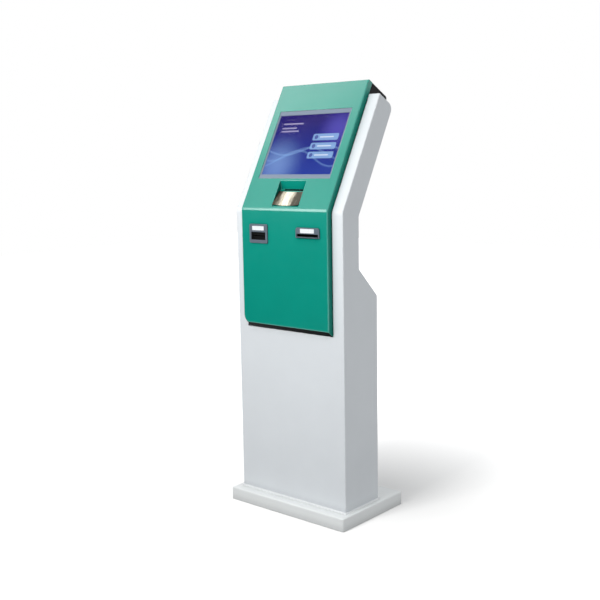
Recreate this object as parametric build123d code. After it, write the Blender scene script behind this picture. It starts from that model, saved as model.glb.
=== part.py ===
from build123d import *
import math
import os

# Floor-standing ticket kiosk: a sheet steel cabinet on a plinth, with a leaning head and a lift-up fascia.
# Millimetres, +Z up, front towards -Y, origin at the middle of the plinth's underside.

# Plinth and the bead round the cabinet's foot
PLINTH_DEPTH = 340.0
PLINTH_HEIGHT = 46.0
PLINTH_FRONT_STEP = 41.0
PLINTH_SIDE_STEP = 21.0
PLINTH_SHEET = 3.0
PLINTH_EDGE_RADIUS = 5.0
ANCHOR_SPACING_X = 400.0
ANCHOR_SPACING_Y = 130.0
ANCHOR_HOLE_RADIUS = 6.0
FOOT_BEAD_WIDTH = 4.0
FOOT_BEAD_HEIGHT = 5.0
FOOT_BEAD_RADIUS = 2.5

# Cabinet, seen from the side: column, slope, neck and leaning head
WING_WIDTH = 45.5
CABINET_DEPTH = 185.0
NECK_DEPTH = 86.0
HEAD_PRINTER_STEP = 10.0
CREASE_Z = 1053.0
NECK_LENGTH = 190.0
SLOPE_HEIGHT = 98.0
TILT = 28.4
WING_TOP_DROP = 43.0
SHEET = 2.0
CREASE_RADIUS = 40.0
SLOPE_RADIUS = 8.0
HEAD_CORNER_RADIUS = 25.0
CABINET_EDGE_RADIUS = 3.0

# Fascia: one folded pan that covers the neck and the leaning head
FASCIA_SIDE_BORDER = 33.5
FASCIA_PROUD = 22.0
FASCIA_SHEET = 2.0
FASCIA_APRON_LENGTH = 390.0
FASCIA_FOOT_HEIGHT = 18.0
FASCIA_TOP_BORDER = 106.0
FASCIA_GAP = 1.5
FASCIA_BEND_RADIUS = 20.0
FASCIA_EDGE_RADIUS = 3.0
FASCIA_CORNER_RADIUS = 22.0

# Ticket recess under the screen, and the steel scoop in it
RECESS_X = 5.0
RECESS_WIDTH = 117.0
RECESS_FOOT_S = 5.0
RECESS_HOOD_S = 102.0
RECESS_THROAT_S = 79.0
RECESS_DEPTH = 19.0
RECESS_FOOT_DEPTH = 2.5
TICKET_MOUTH_WIDTH = 86.0
TICKET_MOUTH_HEIGHT = 6.5
SCOOP_SHEET = 1.2
SCOOP_SAG = 5.0
SEAT_GAP = 0.3
HOLE_CLEARANCE = 0.25

# Screen: bezel in the fascia, glass, display and chassis on the cabinet
BEZEL_RISE = 9.0
BEZEL_SIDE_BORDER = 5.5
BEZEL_END_BORDER = 15.5
BEZEL_RECESS = 1.0
BEZEL_GAP = 1.0
BEZEL_FLANGE = 7.0
BEZEL_FLANGE_DEPTH = 1.6
VIEW_WIDTH = 304.0
VIEW_HEIGHT = 228.0
VIEW_BEVEL = 1.5
SCREEN_GAP = 0.5
GLASS_MARGIN = 7.0
GLASS_DEPTH = 3.0
DISPLAY_MARGIN = 11.0
DISPLAY_DEPTH = 10.5
CHASSIS_MARGIN = 13.0
CHASSIS_DEPTH = 38.0
CHASSIS_STEP = 18.0
CHASSIS_STEP_DEPTH = 14.0
CHASSIS_RADIUS = 4.0
CHASSIS_VENTS = 6
CHASSIS_VENT_LENGTH = 90.0
CHASSIS_VENT_WIDTH = 5.0
CHASSIS_VENT_PITCH = 14.0
MONITOR_RAIL_SPACING = 170.0
MONITOR_RAIL_HEIGHT = 26.0
MONITOR_RAIL_DEPTH = 12.0
RAIL_SHEET = 2.0
SCREW_RADIUS = 2.0
SCREW_HEAD_RADIUS = 4.0
SCREW_HEAD_HEIGHT = 2.4
MONITOR_SCREW_SPACING = 100.0
MONITOR_SCREW_LENGTH = 8.0

# Black cover behind the head
COVER_SIDE_GAP = 2.5
COVER_PROUD = 12.0
COVER_SHEET = 1.5
COVER_FOOT_RISE = 36.5
COVER_FRONT_GAP = 4.0
COVER_WING_GAP = 1.5
COVER_CORNER_RADIUS = 10.0
COVER_FLANGE = 16.0
COVER_FLANGE_TOP_DROP = 35.0
COVER_VENT_COUNT = 9
COVER_VENT_LENGTH = 170.0
COVER_VENT_WIDTH = 5.0
COVER_VENT_PITCH = 14.0
COVER_VENT_FOOT_S = 300.0
COVER_SCREW_COUNT = 4
HINGE_RAIL_DEPTH = 28.0
HINGE_RAIL_HEIGHT = 20.0

# Fascia hinges, under its top edge
HINGE_SPACING = 250.0
HINGE_LENGTH = 60.0
HINGE_BARREL_RADIUS = 3.5
HINGE_PIN_RADIUS = 1.6
HINGE_LEAF = 1.5
HINGE_LEAF_REACH = 15.0
KNUCKLE_GAP = 0.4
RUNNING_CLEARANCE = 0.05

# Gas struts between the cabinet and the fascia
STRUT_INSET = 12.5
STRUT_FOOT_DROP = 34.5
STRUT_FOOT_OUT = -26.5
STRUT_HEAD_DROP = 135.0
STRUT_HEAD_OUT = 9.5
STRUT_LIFT = 65.0
STRUT_TUBE_RADIUS = 6.5
STRUT_ROD_SHOWN = 24.9
STRUT_ROD_RADIUS = 3.0
STRUT_ROD_LENGTH = 146.0
STRUT_END_RADIUS = 6.0
STRUT_END_WIDTH = 12.0
STRUT_STUD_RADIUS = 3.0
STRUT_BRACKET_SHEET = 2.5
STRUT_BRACKET_HEIGHT = 34.0
STRUT_LUG_SIZE = 18.0
STRUT_LUG_GAP = 0.5

# Card reader, on the left of the fascia's upright part
CARD_X = -110.5
CARD_BEZEL_WIDTH = 83.0
CARD_BEZEL_HEIGHT = 65.0
CARD_BEZEL_DROP = 111.0
CARD_BEZEL_DEPTH = 4.0
CARD_BEZEL_RADIUS = 5.0
BEZEL_CHAMFER = 1.0
THROAT_WIDTH = 65.0
THROAT_HEIGHT = 26.5
THROAT_RISE = 11.5
THROAT_DEPTH = 10.0
THROAT_SET_BACK = 1.5
THROAT_WALL = 2.5
THROAT_TAPER = 35.0
THROAT_FUNNEL = 5.0
CARD_SLOT_WIDTH = 56.0
CARD_SLOT_HEIGHT = 3.0
CARD_LABEL_WIDTH = 53.0
CARD_LABEL_HEIGHT = 14.5
CARD_LABEL_RISE = 44.0
LABEL_DEPTH = 0.8
LABEL_RADIUS = 1.5
CARD_READER_WIDTH = 72.0
CARD_READER_HEIGHT = 54.0
MODULE_REAR_GAP = 16.0
MODULE_RADIUS = 3.0
MODULE_GAP = 2.0

# Receipt slot, on the right of the fascia's upright part
RECEIPT_X = 108.5
RECEIPT_BEZEL_WIDTH = 102.0
RECEIPT_BEZEL_HEIGHT = 34.0
RECEIPT_BEZEL_DROP = 85.5
RECEIPT_BEZEL_DEPTH = 4.0
RECEIPT_SHOULDER_RADIUS = 9.0
RECEIPT_SLOT_WIDTH = 92.0
RECEIPT_SLOT_HEIGHT = 9.5
RECEIPT_SLOT_RISE = 4.0
RECEIPT_LIP_DEPTH = 5.0
RECEIPT_LABEL_WIDTH = 59.0
RECEIPT_LABEL_HEIGHT = 14.0
RECEIPT_LABEL_RISE = 16.5
RECEIPT_PRINTER_WIDTH = 100.0
RECEIPT_PRINTER_HEIGHT = 66.0
RECEIPT_MOUTH_DEPTH = 18.0

# Shelves across the cabinet
SHELF_SHEET = 2.0
SHELF_FLANGE = 18.0
SHELF_FRONT_GAP = 4.0
SHELF_REAR_GAP = 2.0
DEVICE_SHELF_DROP = 115.0
PRINTER_SHELF_DROP = 13.0
WEB_SLOT_MARGIN = 4.0
WEB_SLOT_DEPTH = 10.0

# Ticket printer behind the recess
WEB_Y = 40.0
WEB_WIDTH = 80.0
WEB_THICKNESS = 0.2
WEB_GAP = 0.2
PRINTER_PLATE = 2.0
PRINTER_INNER_WIDTH = 98.0
PRINTER_NOSE = 20.0
PRINTER_REAR_MARGIN = 4.8
PRINTER_FOOT_STEP = 12.0
PRINTER_HEIGHT = 72.0
PRINTER_CHAMFER = 16.0
PLATEN_RISE = 32.0
PLATEN_RADIUS = 8.0
PLATEN_LENGTH = 84.0
SHAFT_RADIUS = 3.0
SHAFT_END = 6.0
GEAR_MODULE = 1.25
GEAR_TEETH = 32
PINION_TEETH = 10
GEAR_WIDTH = 6.0
GEAR_GAP = 2.0
GEAR_BACKLASH = 0.35
GEAR_CENTRE_SLACK = 0.15
ADDENDUM_SHARE = 0.8
DEDENDUM_SHARE = 1.15
PRESSURE_ANGLE = 20.0
MOTOR_ANGLE = -25.0
MOTOR_RADIUS = 17.0
MOTOR_LENGTH = 26.0
MOTOR_SHAFT_RADIUS = 2.0
MOTOR_BOSS_RADIUS = 5.0
PRINT_HEAD_DEPTH = 15.0
PRINT_HEAD_HEIGHT = 18.0
PRINT_HEAD_FINS = 4
PRINT_HEAD_FIN_WIDTH = 2.0
PRINT_HEAD_FIN_DEPTH = 7.0
CUTTER_RISE = 58.0
CUTTER_BED_HEIGHT = 7.0
CUTTER_BED_DEPTH = 13.0
BLADE_THICKNESS = 1.5
BLADE_DEPTH = 22.0
BLADE_EDGE = 3.0
BLADE_GAP = 0.3
BLADE_SET_BACK = 1.5
BLADE_SIDE_GAP = 1.0
BLADE_LEDGE_WIDTH = 5.0
BLADE_TRAVEL = 8.0
PLUNGER_RADIUS = 2.5
PLUNGER_LENGTH = 26.0
SOLENOID_WIDTH = 30.0
SOLENOID_HEIGHT = 20.0
SOLENOID_DEPTH = 22.0
SOLENOID_GAP = 4.0
BRIDGE_HEIGHT = 2.0
DEFLECTOR_SHEET = 1.2
DEFLECTOR_HEIGHT = 13.0
DEFLECTOR_LEAN = 5.0

# Ticket roll in the column
ROLL_DROP = 205.0
ROLL_RADIUS = 55.0
CORE_RADIUS = 13.0
CORE_WALL = 2.0
SPINDLE_RADIUS = 10.9
SPINDLE_BORE = 8.0
CHEEK_SHEET = 2.0
CHEEK_GAP = 4.0
CHEEK_HEIGHT = 84.0
CHEEK_OVER = 22.0
CHEEK_NOSE_RADIUS = 20.0

# Computer and power supply on the cabinet floor
COMPUTER_X = -75.0
COMPUTER_WIDTH = 220.0
COMPUTER_DEPTH = 66.0
COMPUTER_HEIGHT = 210.0
COMPUTER_STAND_OFF = 30.0
COMPUTER_VENTS = 7
COMPUTER_VENT_LENGTH = 120.0
COMPUTER_VENT_WIDTH = 5.0
COMPUTER_VENT_PITCH = 12.0
COMPUTER_PORT_WIDTH = 150.0
COMPUTER_PORT_HEIGHT = 40.0
COMPUTER_PORT_RISE = 18.0
COMPUTER_PORT_DEPTH = 4.0
CASE_SHEET = 1.5
POWER_X = 115.0
POWER_WIDTH = 120.0
POWER_DEPTH = 96.0
POWER_HEIGHT = 46.0
POWER_STAND_OFF = 26.0
POWER_TERMINAL_HEIGHT = 18.0
POWER_TERMINAL_DEPTH = 14.0

# Rear door, its frame, hinges, lock and fan
DOOR_SIDE_MARGIN = 26.5
DOOR_TOP_MARGIN = 17.0
DOOR_OPEN_Z = 112.0
DOOR_GAP = 2.5
DOOR_SHEET = 2.0
DOOR_DEPTH = 15.0
DOOR_EDGE_RADIUS = 1.5
JAMB_SHEET = 1.5
JAMB_DEPTH = 15.0
DOOR_VENT_ROWS = 8
DOOR_VENT_LENGTH = 110.0
DOOR_VENT_WIDTH = 6.0
DOOR_VENT_PITCH = 15.0
DOOR_VENT_RISE = 60.0
DOOR_VENT_SPACING = 160.0
DOOR_HINGE_COUNT = 3
DOOR_HINGE_MARGIN = 80.0
DOOR_HINGE_LENGTH = 60.0
DOOR_HINGE_RADIUS = 4.0
DOOR_HINGE_PIN_RADIUS = 2.0
DOOR_HINGE_LEAF = 2.0
DOOR_LEAF_WIDTH = 22.0
LOCK_INSET = 20.0
LOCK_RISE = 330.0
LOCK_BARREL_RADIUS = 9.5
LOCK_FACE_RADIUS = 12.5
LOCK_FACE_DEPTH = 3.0
LOCK_PLUG_RADIUS = 6.0
LOCK_KEYWAY_WIDTH = 1.6
LOCK_KEYWAY_HEIGHT = 7.0
LOCK_KEYWAY_DEPTH = 8.0
CAM_WIDTH = 12.0
CAM_LENGTH = 32.0
CAM_SHEET = 2.5
CAM_GAP = 0.5
FAN_X = -100.0
FAN_DROP = 136.0
FAN_SIZE = 80.0
FAN_DEPTH = 25.0
FAN_CORNER_RADIUS = 6.0
FAN_BORE_RADIUS = 38.0
FAN_HOLE_SPACING = 71.5
FAN_HUB_RADIUS = 17.0
FAN_HUB_WALL = 3.0
FAN_BLADES = 7
FAN_BLADE_RADIUS = 35.5
FAN_BLADE_SHEET = 2.0
FAN_BLADE_CHORD = 20.0
FAN_ROOT_PITCH = 48.0
FAN_TIP_PITCH = 28.0
FAN_ROTOR_DEPTH = 18.0
FAN_SPOKES = 3
FAN_SPOKE_WIDTH = 5.0
FAN_SPOKE_DEPTH = 4.0
FAN_PIN_RADIUS = 2.0
GUARD_SHEET = 1.5
GUARD_RING_COUNT = 4
GUARD_RING_WIDTH = 3.0
GUARD_RING_PITCH = 9.0
GUARD_HUB_RADIUS = 7.0
GUARD_SPOKE_WIDTH = 4.0
FAN_SCREW_LENGTH = 10.0

# Mains inlet with its rocker switch, in the rear wall under the door
INLET_X = 140.0
INLET_Z = 79.0
INLET_WIDTH = 66.0
INLET_HEIGHT = 34.0
INLET_FLANGE = 2.5
INLET_BODY_WIDTH = 58.0
INLET_BODY_HEIGHT = 28.0
INLET_BODY_DEPTH = 28.0
INLET_RADIUS = 3.0
SOCKET_WIDTH = 24.5
SOCKET_HEIGHT = 17.0
SOCKET_DEPTH = 17.0
SOCKET_CHAMFER = 5.0
SOCKET_OFFSET = 14.0
SOCKET_PIN_WIDTH = 2.0
SOCKET_PIN_HEIGHT = 4.5
SOCKET_PIN_LENGTH = 12.0
SOCKET_PIN_PITCH = 7.0
ROCKER_OFFSET = -15.0
ROCKER_WIDTH = 14.0
ROCKER_RADIUS = 10.0
ROCKER_GAP = 0.4
ROCKER_PROUD = 4.0
ROCKER_DIP = 2.4
ROCKER_KEEL = 5.0
ROCKER_SWING = 9.0
ROCKER_PIN_RADIUS = 1.5

# Bolts that hold the cabinet on the plinth
BASE_BOLT_SPACING_WIDTH = 300.0
BASE_BOLT_INSET = 17.5
BASE_BOLT_RADIUS = 4.0
BASE_BOLT_HEAD_RADIUS = 7.5
BASE_BOLT_HEAD_HEIGHT = 5.3

# Every cut runs this far past the wall it goes through
OVERRUN = 5.0

SIN_TILT = math.sin(math.radians(TILT))
COS_TILT = math.cos(math.radians(TILT))

# Widths from the screen outwards, and the screen's middle above the recess
BEZEL_WIDTH = VIEW_WIDTH + 2 * BEZEL_SIDE_BORDER
BEZEL_HEIGHT = VIEW_HEIGHT + 2 * BEZEL_END_BORDER
SCREEN_S = RECESS_HOOD_S + BEZEL_RISE + BEZEL_HEIGHT / 2
FASCIA_WIDTH = BEZEL_WIDTH + 2 * FASCIA_SIDE_BORDER
OPENING_X = FASCIA_WIDTH / 2 + FASCIA_GAP
STRUT_X = FASCIA_WIDTH / 2 - STRUT_INSET
COVER_WIDTH = 2 * (OPENING_X - COVER_SIDE_GAP)
CABINET_WIDTH = FASCIA_WIDTH + 2 * WING_WIDTH
INNER_X = CABINET_WIDTH / 2 - SHEET
DOOR_OPEN_WIDTH = CABINET_WIDTH - 2 * DOOR_SIDE_MARGIN
PLINTH_WIDTH = CABINET_WIDTH + 2 * PLINTH_SIDE_STEP

# Lengths up the lean, from the top of the screen
FASCIA_TOP_S = SCREEN_S + BEZEL_HEIGHT / 2 + FASCIA_TOP_BORDER
WING_LENGTH = FASCIA_TOP_S - WING_TOP_DROP
COVER_FLANGE_TOP_S = WING_LENGTH - COVER_FLANGE_TOP_DROP
STRUT_HEAD_S = FASCIA_TOP_S - STRUT_HEAD_DROP
STRUT_FOOT_S = SCREEN_S - MONITOR_RAIL_SPACING / 2 - STRUT_FOOT_DROP

# Heights, down from the crease
PRINTER_SHELF_Z = CREASE_Z - PRINTER_SHELF_DROP
DEVICE_SHELF_Z = CREASE_Z - DEVICE_SHELF_DROP
CARD_BEZEL_Z = CREASE_Z - CARD_BEZEL_DROP
RECEIPT_BEZEL_Z = CREASE_Z - RECEIPT_BEZEL_DROP
FASCIA_BASE_Z = CREASE_Z - FASCIA_APRON_LENGTH
FASCIA_FOOT_Z = FASCIA_BASE_Z - FASCIA_FOOT_HEIGHT
SLOPE_HIGH_Z = CREASE_Z - NECK_LENGTH
SLOPE_LOW_Z = SLOPE_HIGH_Z - SLOPE_HEIGHT
ROLL_Z = SLOPE_LOW_Z - ROLL_DROP
DOOR_OPEN_HEIGHT = SLOPE_LOW_Z - DOOR_TOP_MARGIN - DOOR_OPEN_Z

# Depths: the ticket printer behind its web, the head round the printer, the cover on the head
PLATEN_BACK = WEB_Y + WEB_THICKNESS / 2 + WEB_GAP + PLATEN_RADIUS
GEAR_CENTRES = GEAR_MODULE * (GEAR_TEETH + PINION_TEETH) / 2 + GEAR_CENTRE_SLACK
MOTOR_BACK = PLATEN_BACK + GEAR_CENTRES * math.cos(math.radians(MOTOR_ANGLE))
PRINTER_FRONT = WEB_Y - PRINTER_NOSE
PRINTER_BACK = MOTOR_BACK + MOTOR_RADIUS + PRINTER_REAR_MARGIN
PRINTER_FOOT_BACK = PRINTER_BACK - PRINTER_FOOT_STEP
HEAD_DEPTH = PRINTER_BACK - HEAD_PRINTER_STEP
REAR_FOLD_S = (NECK_DEPTH - HEAD_DEPTH * COS_TILT) / SIN_TILT
COVER_FOOT_S = REAR_FOLD_S + COVER_FOOT_RISE
MODULE_BACK = NECK_DEPTH - MODULE_REAR_GAP
BASE_BOLT_SPACING_DEPTH = CABINET_DEPTH - 2 * BASE_BOLT_INSET

# Places from front to back
FRONT_Y = PLINTH_FRONT_STEP - PLINTH_DEPTH / 2
REAR_Y = FRONT_Y + CABINET_DEPTH
NECK_Y = FRONT_Y + NECK_DEPTH
BASE_CENTRE_Y = FRONT_Y + CABINET_DEPTH / 2
FLOOR_Z = PLINTH_HEIGHT + SHEET

# Head plane: local x, then s up the lean from the crease, then out towards the user.
HEAD = Plane(origin=(0, FRONT_Y, CREASE_Z), x_dir=(1, 0, 0), z_dir=(0, -COS_TILT, SIN_TILT))
# Face plane: local x, then height above the floor, then out from the fascia's upright face.
FACE = Plane(origin=(0, FRONT_Y - FASCIA_PROUD, 0), x_dir=(1, 0, 0), z_dir=(0, -1, 0))
# Rear plane: local x runs towards -X, then height, then out from the cabinet's rear wall.
REAR = Plane(origin=(0, REAR_Y, 0), x_dir=(-1, 0, 0), z_dir=(0, 1, 0))


def head_point(s, out):
    """Point (y, z) at distance s up the lean and out in front of the wings' face."""
    return (FRONT_Y + s * SIN_TILT - out * COS_TILT, CREASE_Z + s * COS_TILT + out * SIN_TILT)


def crease_point(out):
    """Point (y, z) where the upright and leaning faces meet, moved out in front of the wings."""
    return (FRONT_Y - out, CREASE_Z + out * math.tan(math.radians(TILT) / 2))


def middle(low, high):
    """Half way between two places."""
    return (low + high) / 2


def around(centre, width):
    """Pair of places half a width each side of a centre."""
    return (centre - width / 2, centre + width / 2)


def block(x, y, z):
    """Box between (low, high) pairs of places."""
    sizes = [high - low for low, high in (x, y, z)]
    return Pos(middle(*x), middle(*y), middle(*z)) * Box(*sizes)


def side_slab(points, x, radii=0):
    """Solid between two X planes with a closed outline of (y, z) points."""
    outline = FilletPolyline(*points, radius=radii, close=True)
    return Pos(x[0], 0, 0) * extrude(Plane.YZ * make_face(outline), x[1] - x[0])


def x_rod(radius, x, y, z):
    """Round bar along X."""
    return Pos(middle(*x), y, z) * Rot(0, 90, 0) * Cylinder(radius, x[1] - x[0])


def y_rod(radius, x, y, z):
    """Round bar along Y."""
    return Pos(x, middle(*y), z) * Rot(90, 0, 0) * Cylinder(radius, y[1] - y[0])


def z_rod(radius, x, y, z):
    """Round bar along Z."""
    return Pos(x, y, middle(*z)) * Cylinder(radius, z[1] - z[0])


def mirrored(shape):
    """A piece and its twin across the middle plane, as separate solids."""
    return Compound(children=[shape, mirror(shape, about=Plane.YZ)])


def rounded_plate(width, height, depth, radius):
    """Flat plate with round corners, standing on the local XY plane."""
    return extrude(RectangleRounded(width, height, radius), depth)


def slot_row(length, width, pitch, count, depth):
    """Row of long slots stacked along local Y, as cutters through a wall."""
    slots = Sketch() + [Pos(0, pitch * i, 0) * SlotOverall(length, width) for i in range(count)]
    return extrude(slots, depth, both=True)


# Plinth and cabinet

def plinth():
    """Hollow plinth box with rounded edges and the four floor anchor holes."""
    box = block(around(0, PLINTH_WIDTH), around(0, PLINTH_DEPTH), (0, PLINTH_HEIGHT))
    rounded = box.edges().filter_by(Axis.Z) + box.faces().sort_by(Axis.Z)[-1].edges()
    box = fillet(rounded, PLINTH_EDGE_RADIUS)
    box -= block(
        around(0, PLINTH_WIDTH - 2 * PLINTH_SHEET),
        around(0, PLINTH_DEPTH - 2 * PLINTH_SHEET),
        (PLINTH_SHEET, PLINTH_HEIGHT - PLINTH_SHEET),
    )
    return box - anchor_bores() - base_bolt_bores()


def anchor_bores():
    """Cutters for the floor anchors, through plinth and cabinet floor."""
    bore = z_rod(ANCHOR_HOLE_RADIUS, 0, BASE_CENTRE_Y, (-OVERRUN, FLOOR_Z + OVERRUN))
    places = GridLocations(ANCHOR_SPACING_X, ANCHOR_SPACING_Y, 2, 2)
    return [place * bore for place in places]


def base_bolt_bores():
    """Cutters for the bolts between cabinet floor and plinth."""
    low = PLINTH_HEIGHT - PLINTH_SHEET - OVERRUN
    bore = z_rod(BASE_BOLT_RADIUS + HOLE_CLEARANCE, 0, BASE_CENTRE_Y, (low, FLOOR_Z + OVERRUN))
    places = GridLocations(BASE_BOLT_SPACING_WIDTH, BASE_BOLT_SPACING_DEPTH, 2, 2)
    return [place * bore for place in places]


def base_bolts():
    """Four hexagon bolts that hold the cabinet on the plinth."""
    shank = z_rod(BASE_BOLT_RADIUS, 0, BASE_CENTRE_Y, (PLINTH_HEIGHT - PLINTH_SHEET, FLOOR_Z))
    head = extrude(RegularPolygon(BASE_BOLT_HEAD_RADIUS, 6), BASE_BOLT_HEAD_HEIGHT)
    bolt = shank + Pos(0, BASE_CENTRE_Y, FLOOR_Z) * head
    places = GridLocations(BASE_BOLT_SPACING_WIDTH, BASE_BOLT_SPACING_DEPTH, 2, 2)
    return Compound(children=[place * bolt for place in places])


def foot_bead():
    """Bead that closes the joint between cabinet and plinth."""
    z = (PLINTH_HEIGHT, PLINTH_HEIGHT + FOOT_BEAD_HEIGHT)
    grown = 2 * FOOT_BEAD_WIDTH
    ring = block(around(0, CABINET_WIDTH + grown), around(BASE_CENTRE_Y, CABINET_DEPTH + grown), z)
    ring = fillet(ring.faces().sort_by(Axis.Z)[-1].edges(), FOOT_BEAD_RADIUS)
    return ring - block(around(0, CABINET_WIDTH), around(BASE_CENTRE_Y, CABINET_DEPTH), z)


def cabinet_outline():
    """Side outline of the cabinet: column, slope, neck and leaning head with its round rear corner."""
    corners = {
        (FRONT_Y, PLINTH_HEIGHT): 0,
        (FRONT_Y, CREASE_Z): CREASE_RADIUS,
        head_point(WING_LENGTH, 0): 0,
        head_point(WING_LENGTH, -HEAD_DEPTH): HEAD_CORNER_RADIUS,
        head_point(REAR_FOLD_S, -HEAD_DEPTH): SLOPE_RADIUS,
        (NECK_Y, SLOPE_HIGH_Z): SLOPE_RADIUS,
        (REAR_Y, SLOPE_LOW_Z): SLOPE_RADIUS,
        (REAR_Y, PLINTH_HEIGHT): 0,
    }
    return make_face(FilletPolyline(*corners, radius=list(corners.values()), close=True))


def fascia_opening():
    """Cutter for the front of neck and head between the wings."""
    inner = -(SHEET + OVERRUN)
    top = WING_LENGTH + OVERRUN
    foot = FASCIA_FOOT_Z - FASCIA_GAP
    points = [
        (FRONT_Y - OVERRUN, foot),
        crease_point(OVERRUN),
        head_point(top, OVERRUN),
        head_point(top, inner),
        crease_point(inner),
        (FRONT_Y - inner, foot),
    ]
    return side_slab(points, (-OPENING_X, OPENING_X))


def cabinet_shell():
    """Welded sheet steel cabinet: floor, front, sides with folded wings, slope and neck."""
    outline = cabinet_outline()
    half = CABINET_WIDTH / 2
    body = extrude(Plane.YZ * outline, half, both=True)
    body = fillet(body.faces().filter_by(Axis.X).edges(), CABINET_EDGE_RADIUS)
    body -= extrude(Plane.YZ * offset(outline, -SHEET), half - SHEET, both=True)
    body -= fascia_opening()
    across = (-OPENING_X, OPENING_X)
    behind = around(-HEAD_DEPTH, 2 * HEAD_CORNER_RADIUS)
    body -= HEAD * block(across, (COVER_FOOT_S, WING_LENGTH + OVERRUN), behind)
    body -= HEAD * block(across, around(WING_LENGTH, 2 * OVERRUN), (-HEAD_DEPTH - OVERRUN, OVERRUN))
    body -= REAR * block(around(0, DOOR_OPEN_WIDTH), door_height(), around(0, 2 * OVERRUN))
    body -= REAR * block(
        around(-INLET_X, INLET_BODY_WIDTH), around(INLET_Z, INLET_BODY_HEIGHT), around(0, 2 * OVERRUN)
    )
    return body - anchor_bores() - base_bolt_bores()


def shelf(top_z, slot_margin):
    """Shelf across the cabinet, flanged down at both ends, with the slot that the ticket web passes."""
    y = (FRONT_Y + SHELF_FRONT_GAP, NECK_Y - SHEET - SHELF_REAR_GAP)
    plate = block((-INNER_X, INNER_X), y, (top_z - SHELF_FLANGE, top_z))
    plate -= block(around(0, 2 * (INNER_X - SHELF_SHEET)), y, (top_z - SHELF_FLANGE, top_z - SHELF_SHEET))
    slot = around(FRONT_Y + WEB_Y, WEB_SLOT_DEPTH)
    return plate - block(around(RECESS_X, WEB_WIDTH + 2 * slot_margin), slot, around(top_z, 2 * SHELF_FLANGE))


# Fascia and what it carries

def fascia_foot(out, inset):
    """Height of the bevelled foot of the fascia pan, moved in by a wall."""
    drop = FASCIA_BASE_Z - FASCIA_FOOT_Z
    rise = inset * math.hypot(drop, FASCIA_PROUD) / FASCIA_PROUD
    return FASCIA_FOOT_Z + rise + drop * out / FASCIA_PROUD


def fascia_block(inset, back):
    """The fascia's outer form, or with an inset the hollow inside it, open at the back."""
    front = FASCIA_PROUD - inset
    top = FASCIA_TOP_S - inset
    corners = {
        (FRONT_Y - front, fascia_foot(front, inset)): 0,
        crease_point(front): FASCIA_BEND_RADIUS - inset,
        head_point(top, front): 0,
        head_point(top, back): 0,
        crease_point(back): 0,
        (FRONT_Y - back, fascia_foot(back, inset)): 0,
    }
    half = FASCIA_WIDTH / 2 - inset
    solid = side_slab(list(corners), (-half, half), list(corners.values()))
    foot_edge = (-half, FRONT_Y - middle(front, back), fascia_foot(middle(front, back), inset))
    return fillet(solid.edges().sort_by_distance(foot_edge)[0], FASCIA_CORNER_RADIUS - inset)


def front_edges(solid):
    """Edges round the fascia's front, where the sheet is folded back."""
    chosen = []
    for edge in solid.edges():
        place = edge.center()
        out_upright = FRONT_Y - place.Y
        out_leaning = (place.Z - CREASE_Z) * SIN_TILT - (place.Y - FRONT_Y) * COS_TILT
        on_front = abs(max(out_upright, out_leaning) - FASCIA_PROUD) < SHEET
        across = abs(edge.tangent_at(0.5).X) > 0.9
        near_crease = abs(place.Z - CREASE_Z) < FASCIA_BEND_RADIUS
        if on_front and not (across and near_crease):
            chosen.append(edge)
    return chosen


def recess_face(wall):
    """Side outline of the ticket recess: hood, throat and ramp, grown by a wall."""
    floor = FASCIA_PROUD - RECESS_DEPTH
    points = [
        (RECESS_FOOT_S, FASCIA_PROUD),
        (RECESS_HOOD_S, FASCIA_PROUD),
        (RECESS_THROAT_S, floor),
        (RECESS_FOOT_S, FASCIA_PROUD - RECESS_FOOT_DEPTH),
    ]
    face = make_face(Polyline(*[head_point(*point) for point in points], close=True))
    return offset(face, wall, kind=Kind.INTERSECTION) if wall else face


def fascia():
    """Folded fascia pan with screen window, device cut-outs and the welded ticket recess."""
    pan = fascia_block(0, 0)
    pan = fillet(front_edges(pan), FASCIA_EDGE_RADIUS)
    pan -= fascia_block(FASCIA_SHEET, -OVERRUN)
    half = RECESS_WIDTH / 2
    pocket = extrude(Plane.YZ * recess_face(FASCIA_SHEET), half + FASCIA_SHEET, both=True)
    pocket = Pos(RECESS_X, 0, 0) * pocket
    skin = FASCIA_PROUD - FASCIA_SHEET / 2
    pan += pocket - HEAD * block(
        around(RECESS_X, 2 * RECESS_WIDTH), (-RECESS_HOOD_S, 2 * RECESS_HOOD_S), (skin, skin + FASCIA_PROUD)
    )
    pan -= Pos(RECESS_X, 0, 0) * extrude(Plane.YZ * recess_face(0), half, both=True)
    pan -= HEAD * block(
        around(RECESS_X, TICKET_MOUTH_WIDTH),
        (RECESS_THROAT_S - TICKET_MOUTH_HEIGHT, RECESS_THROAT_S),
        (-OVERRUN, FASCIA_PROUD - RECESS_DEPTH + FASCIA_SHEET),
    )
    window = (around(0, BEZEL_WIDTH + 2 * BEZEL_GAP), around(SCREEN_S, BEZEL_HEIGHT + 2 * BEZEL_GAP))
    pan -= HEAD * block(*window, around(FASCIA_PROUD, 2 * OVERRUN))
    pan -= FACE * block(*throat_area(SEAT_GAP), around(0, 2 * OVERRUN))
    return pan - FACE * block(*receipt_slot_area(SEAT_GAP), around(0, 2 * OVERRUN))


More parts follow.
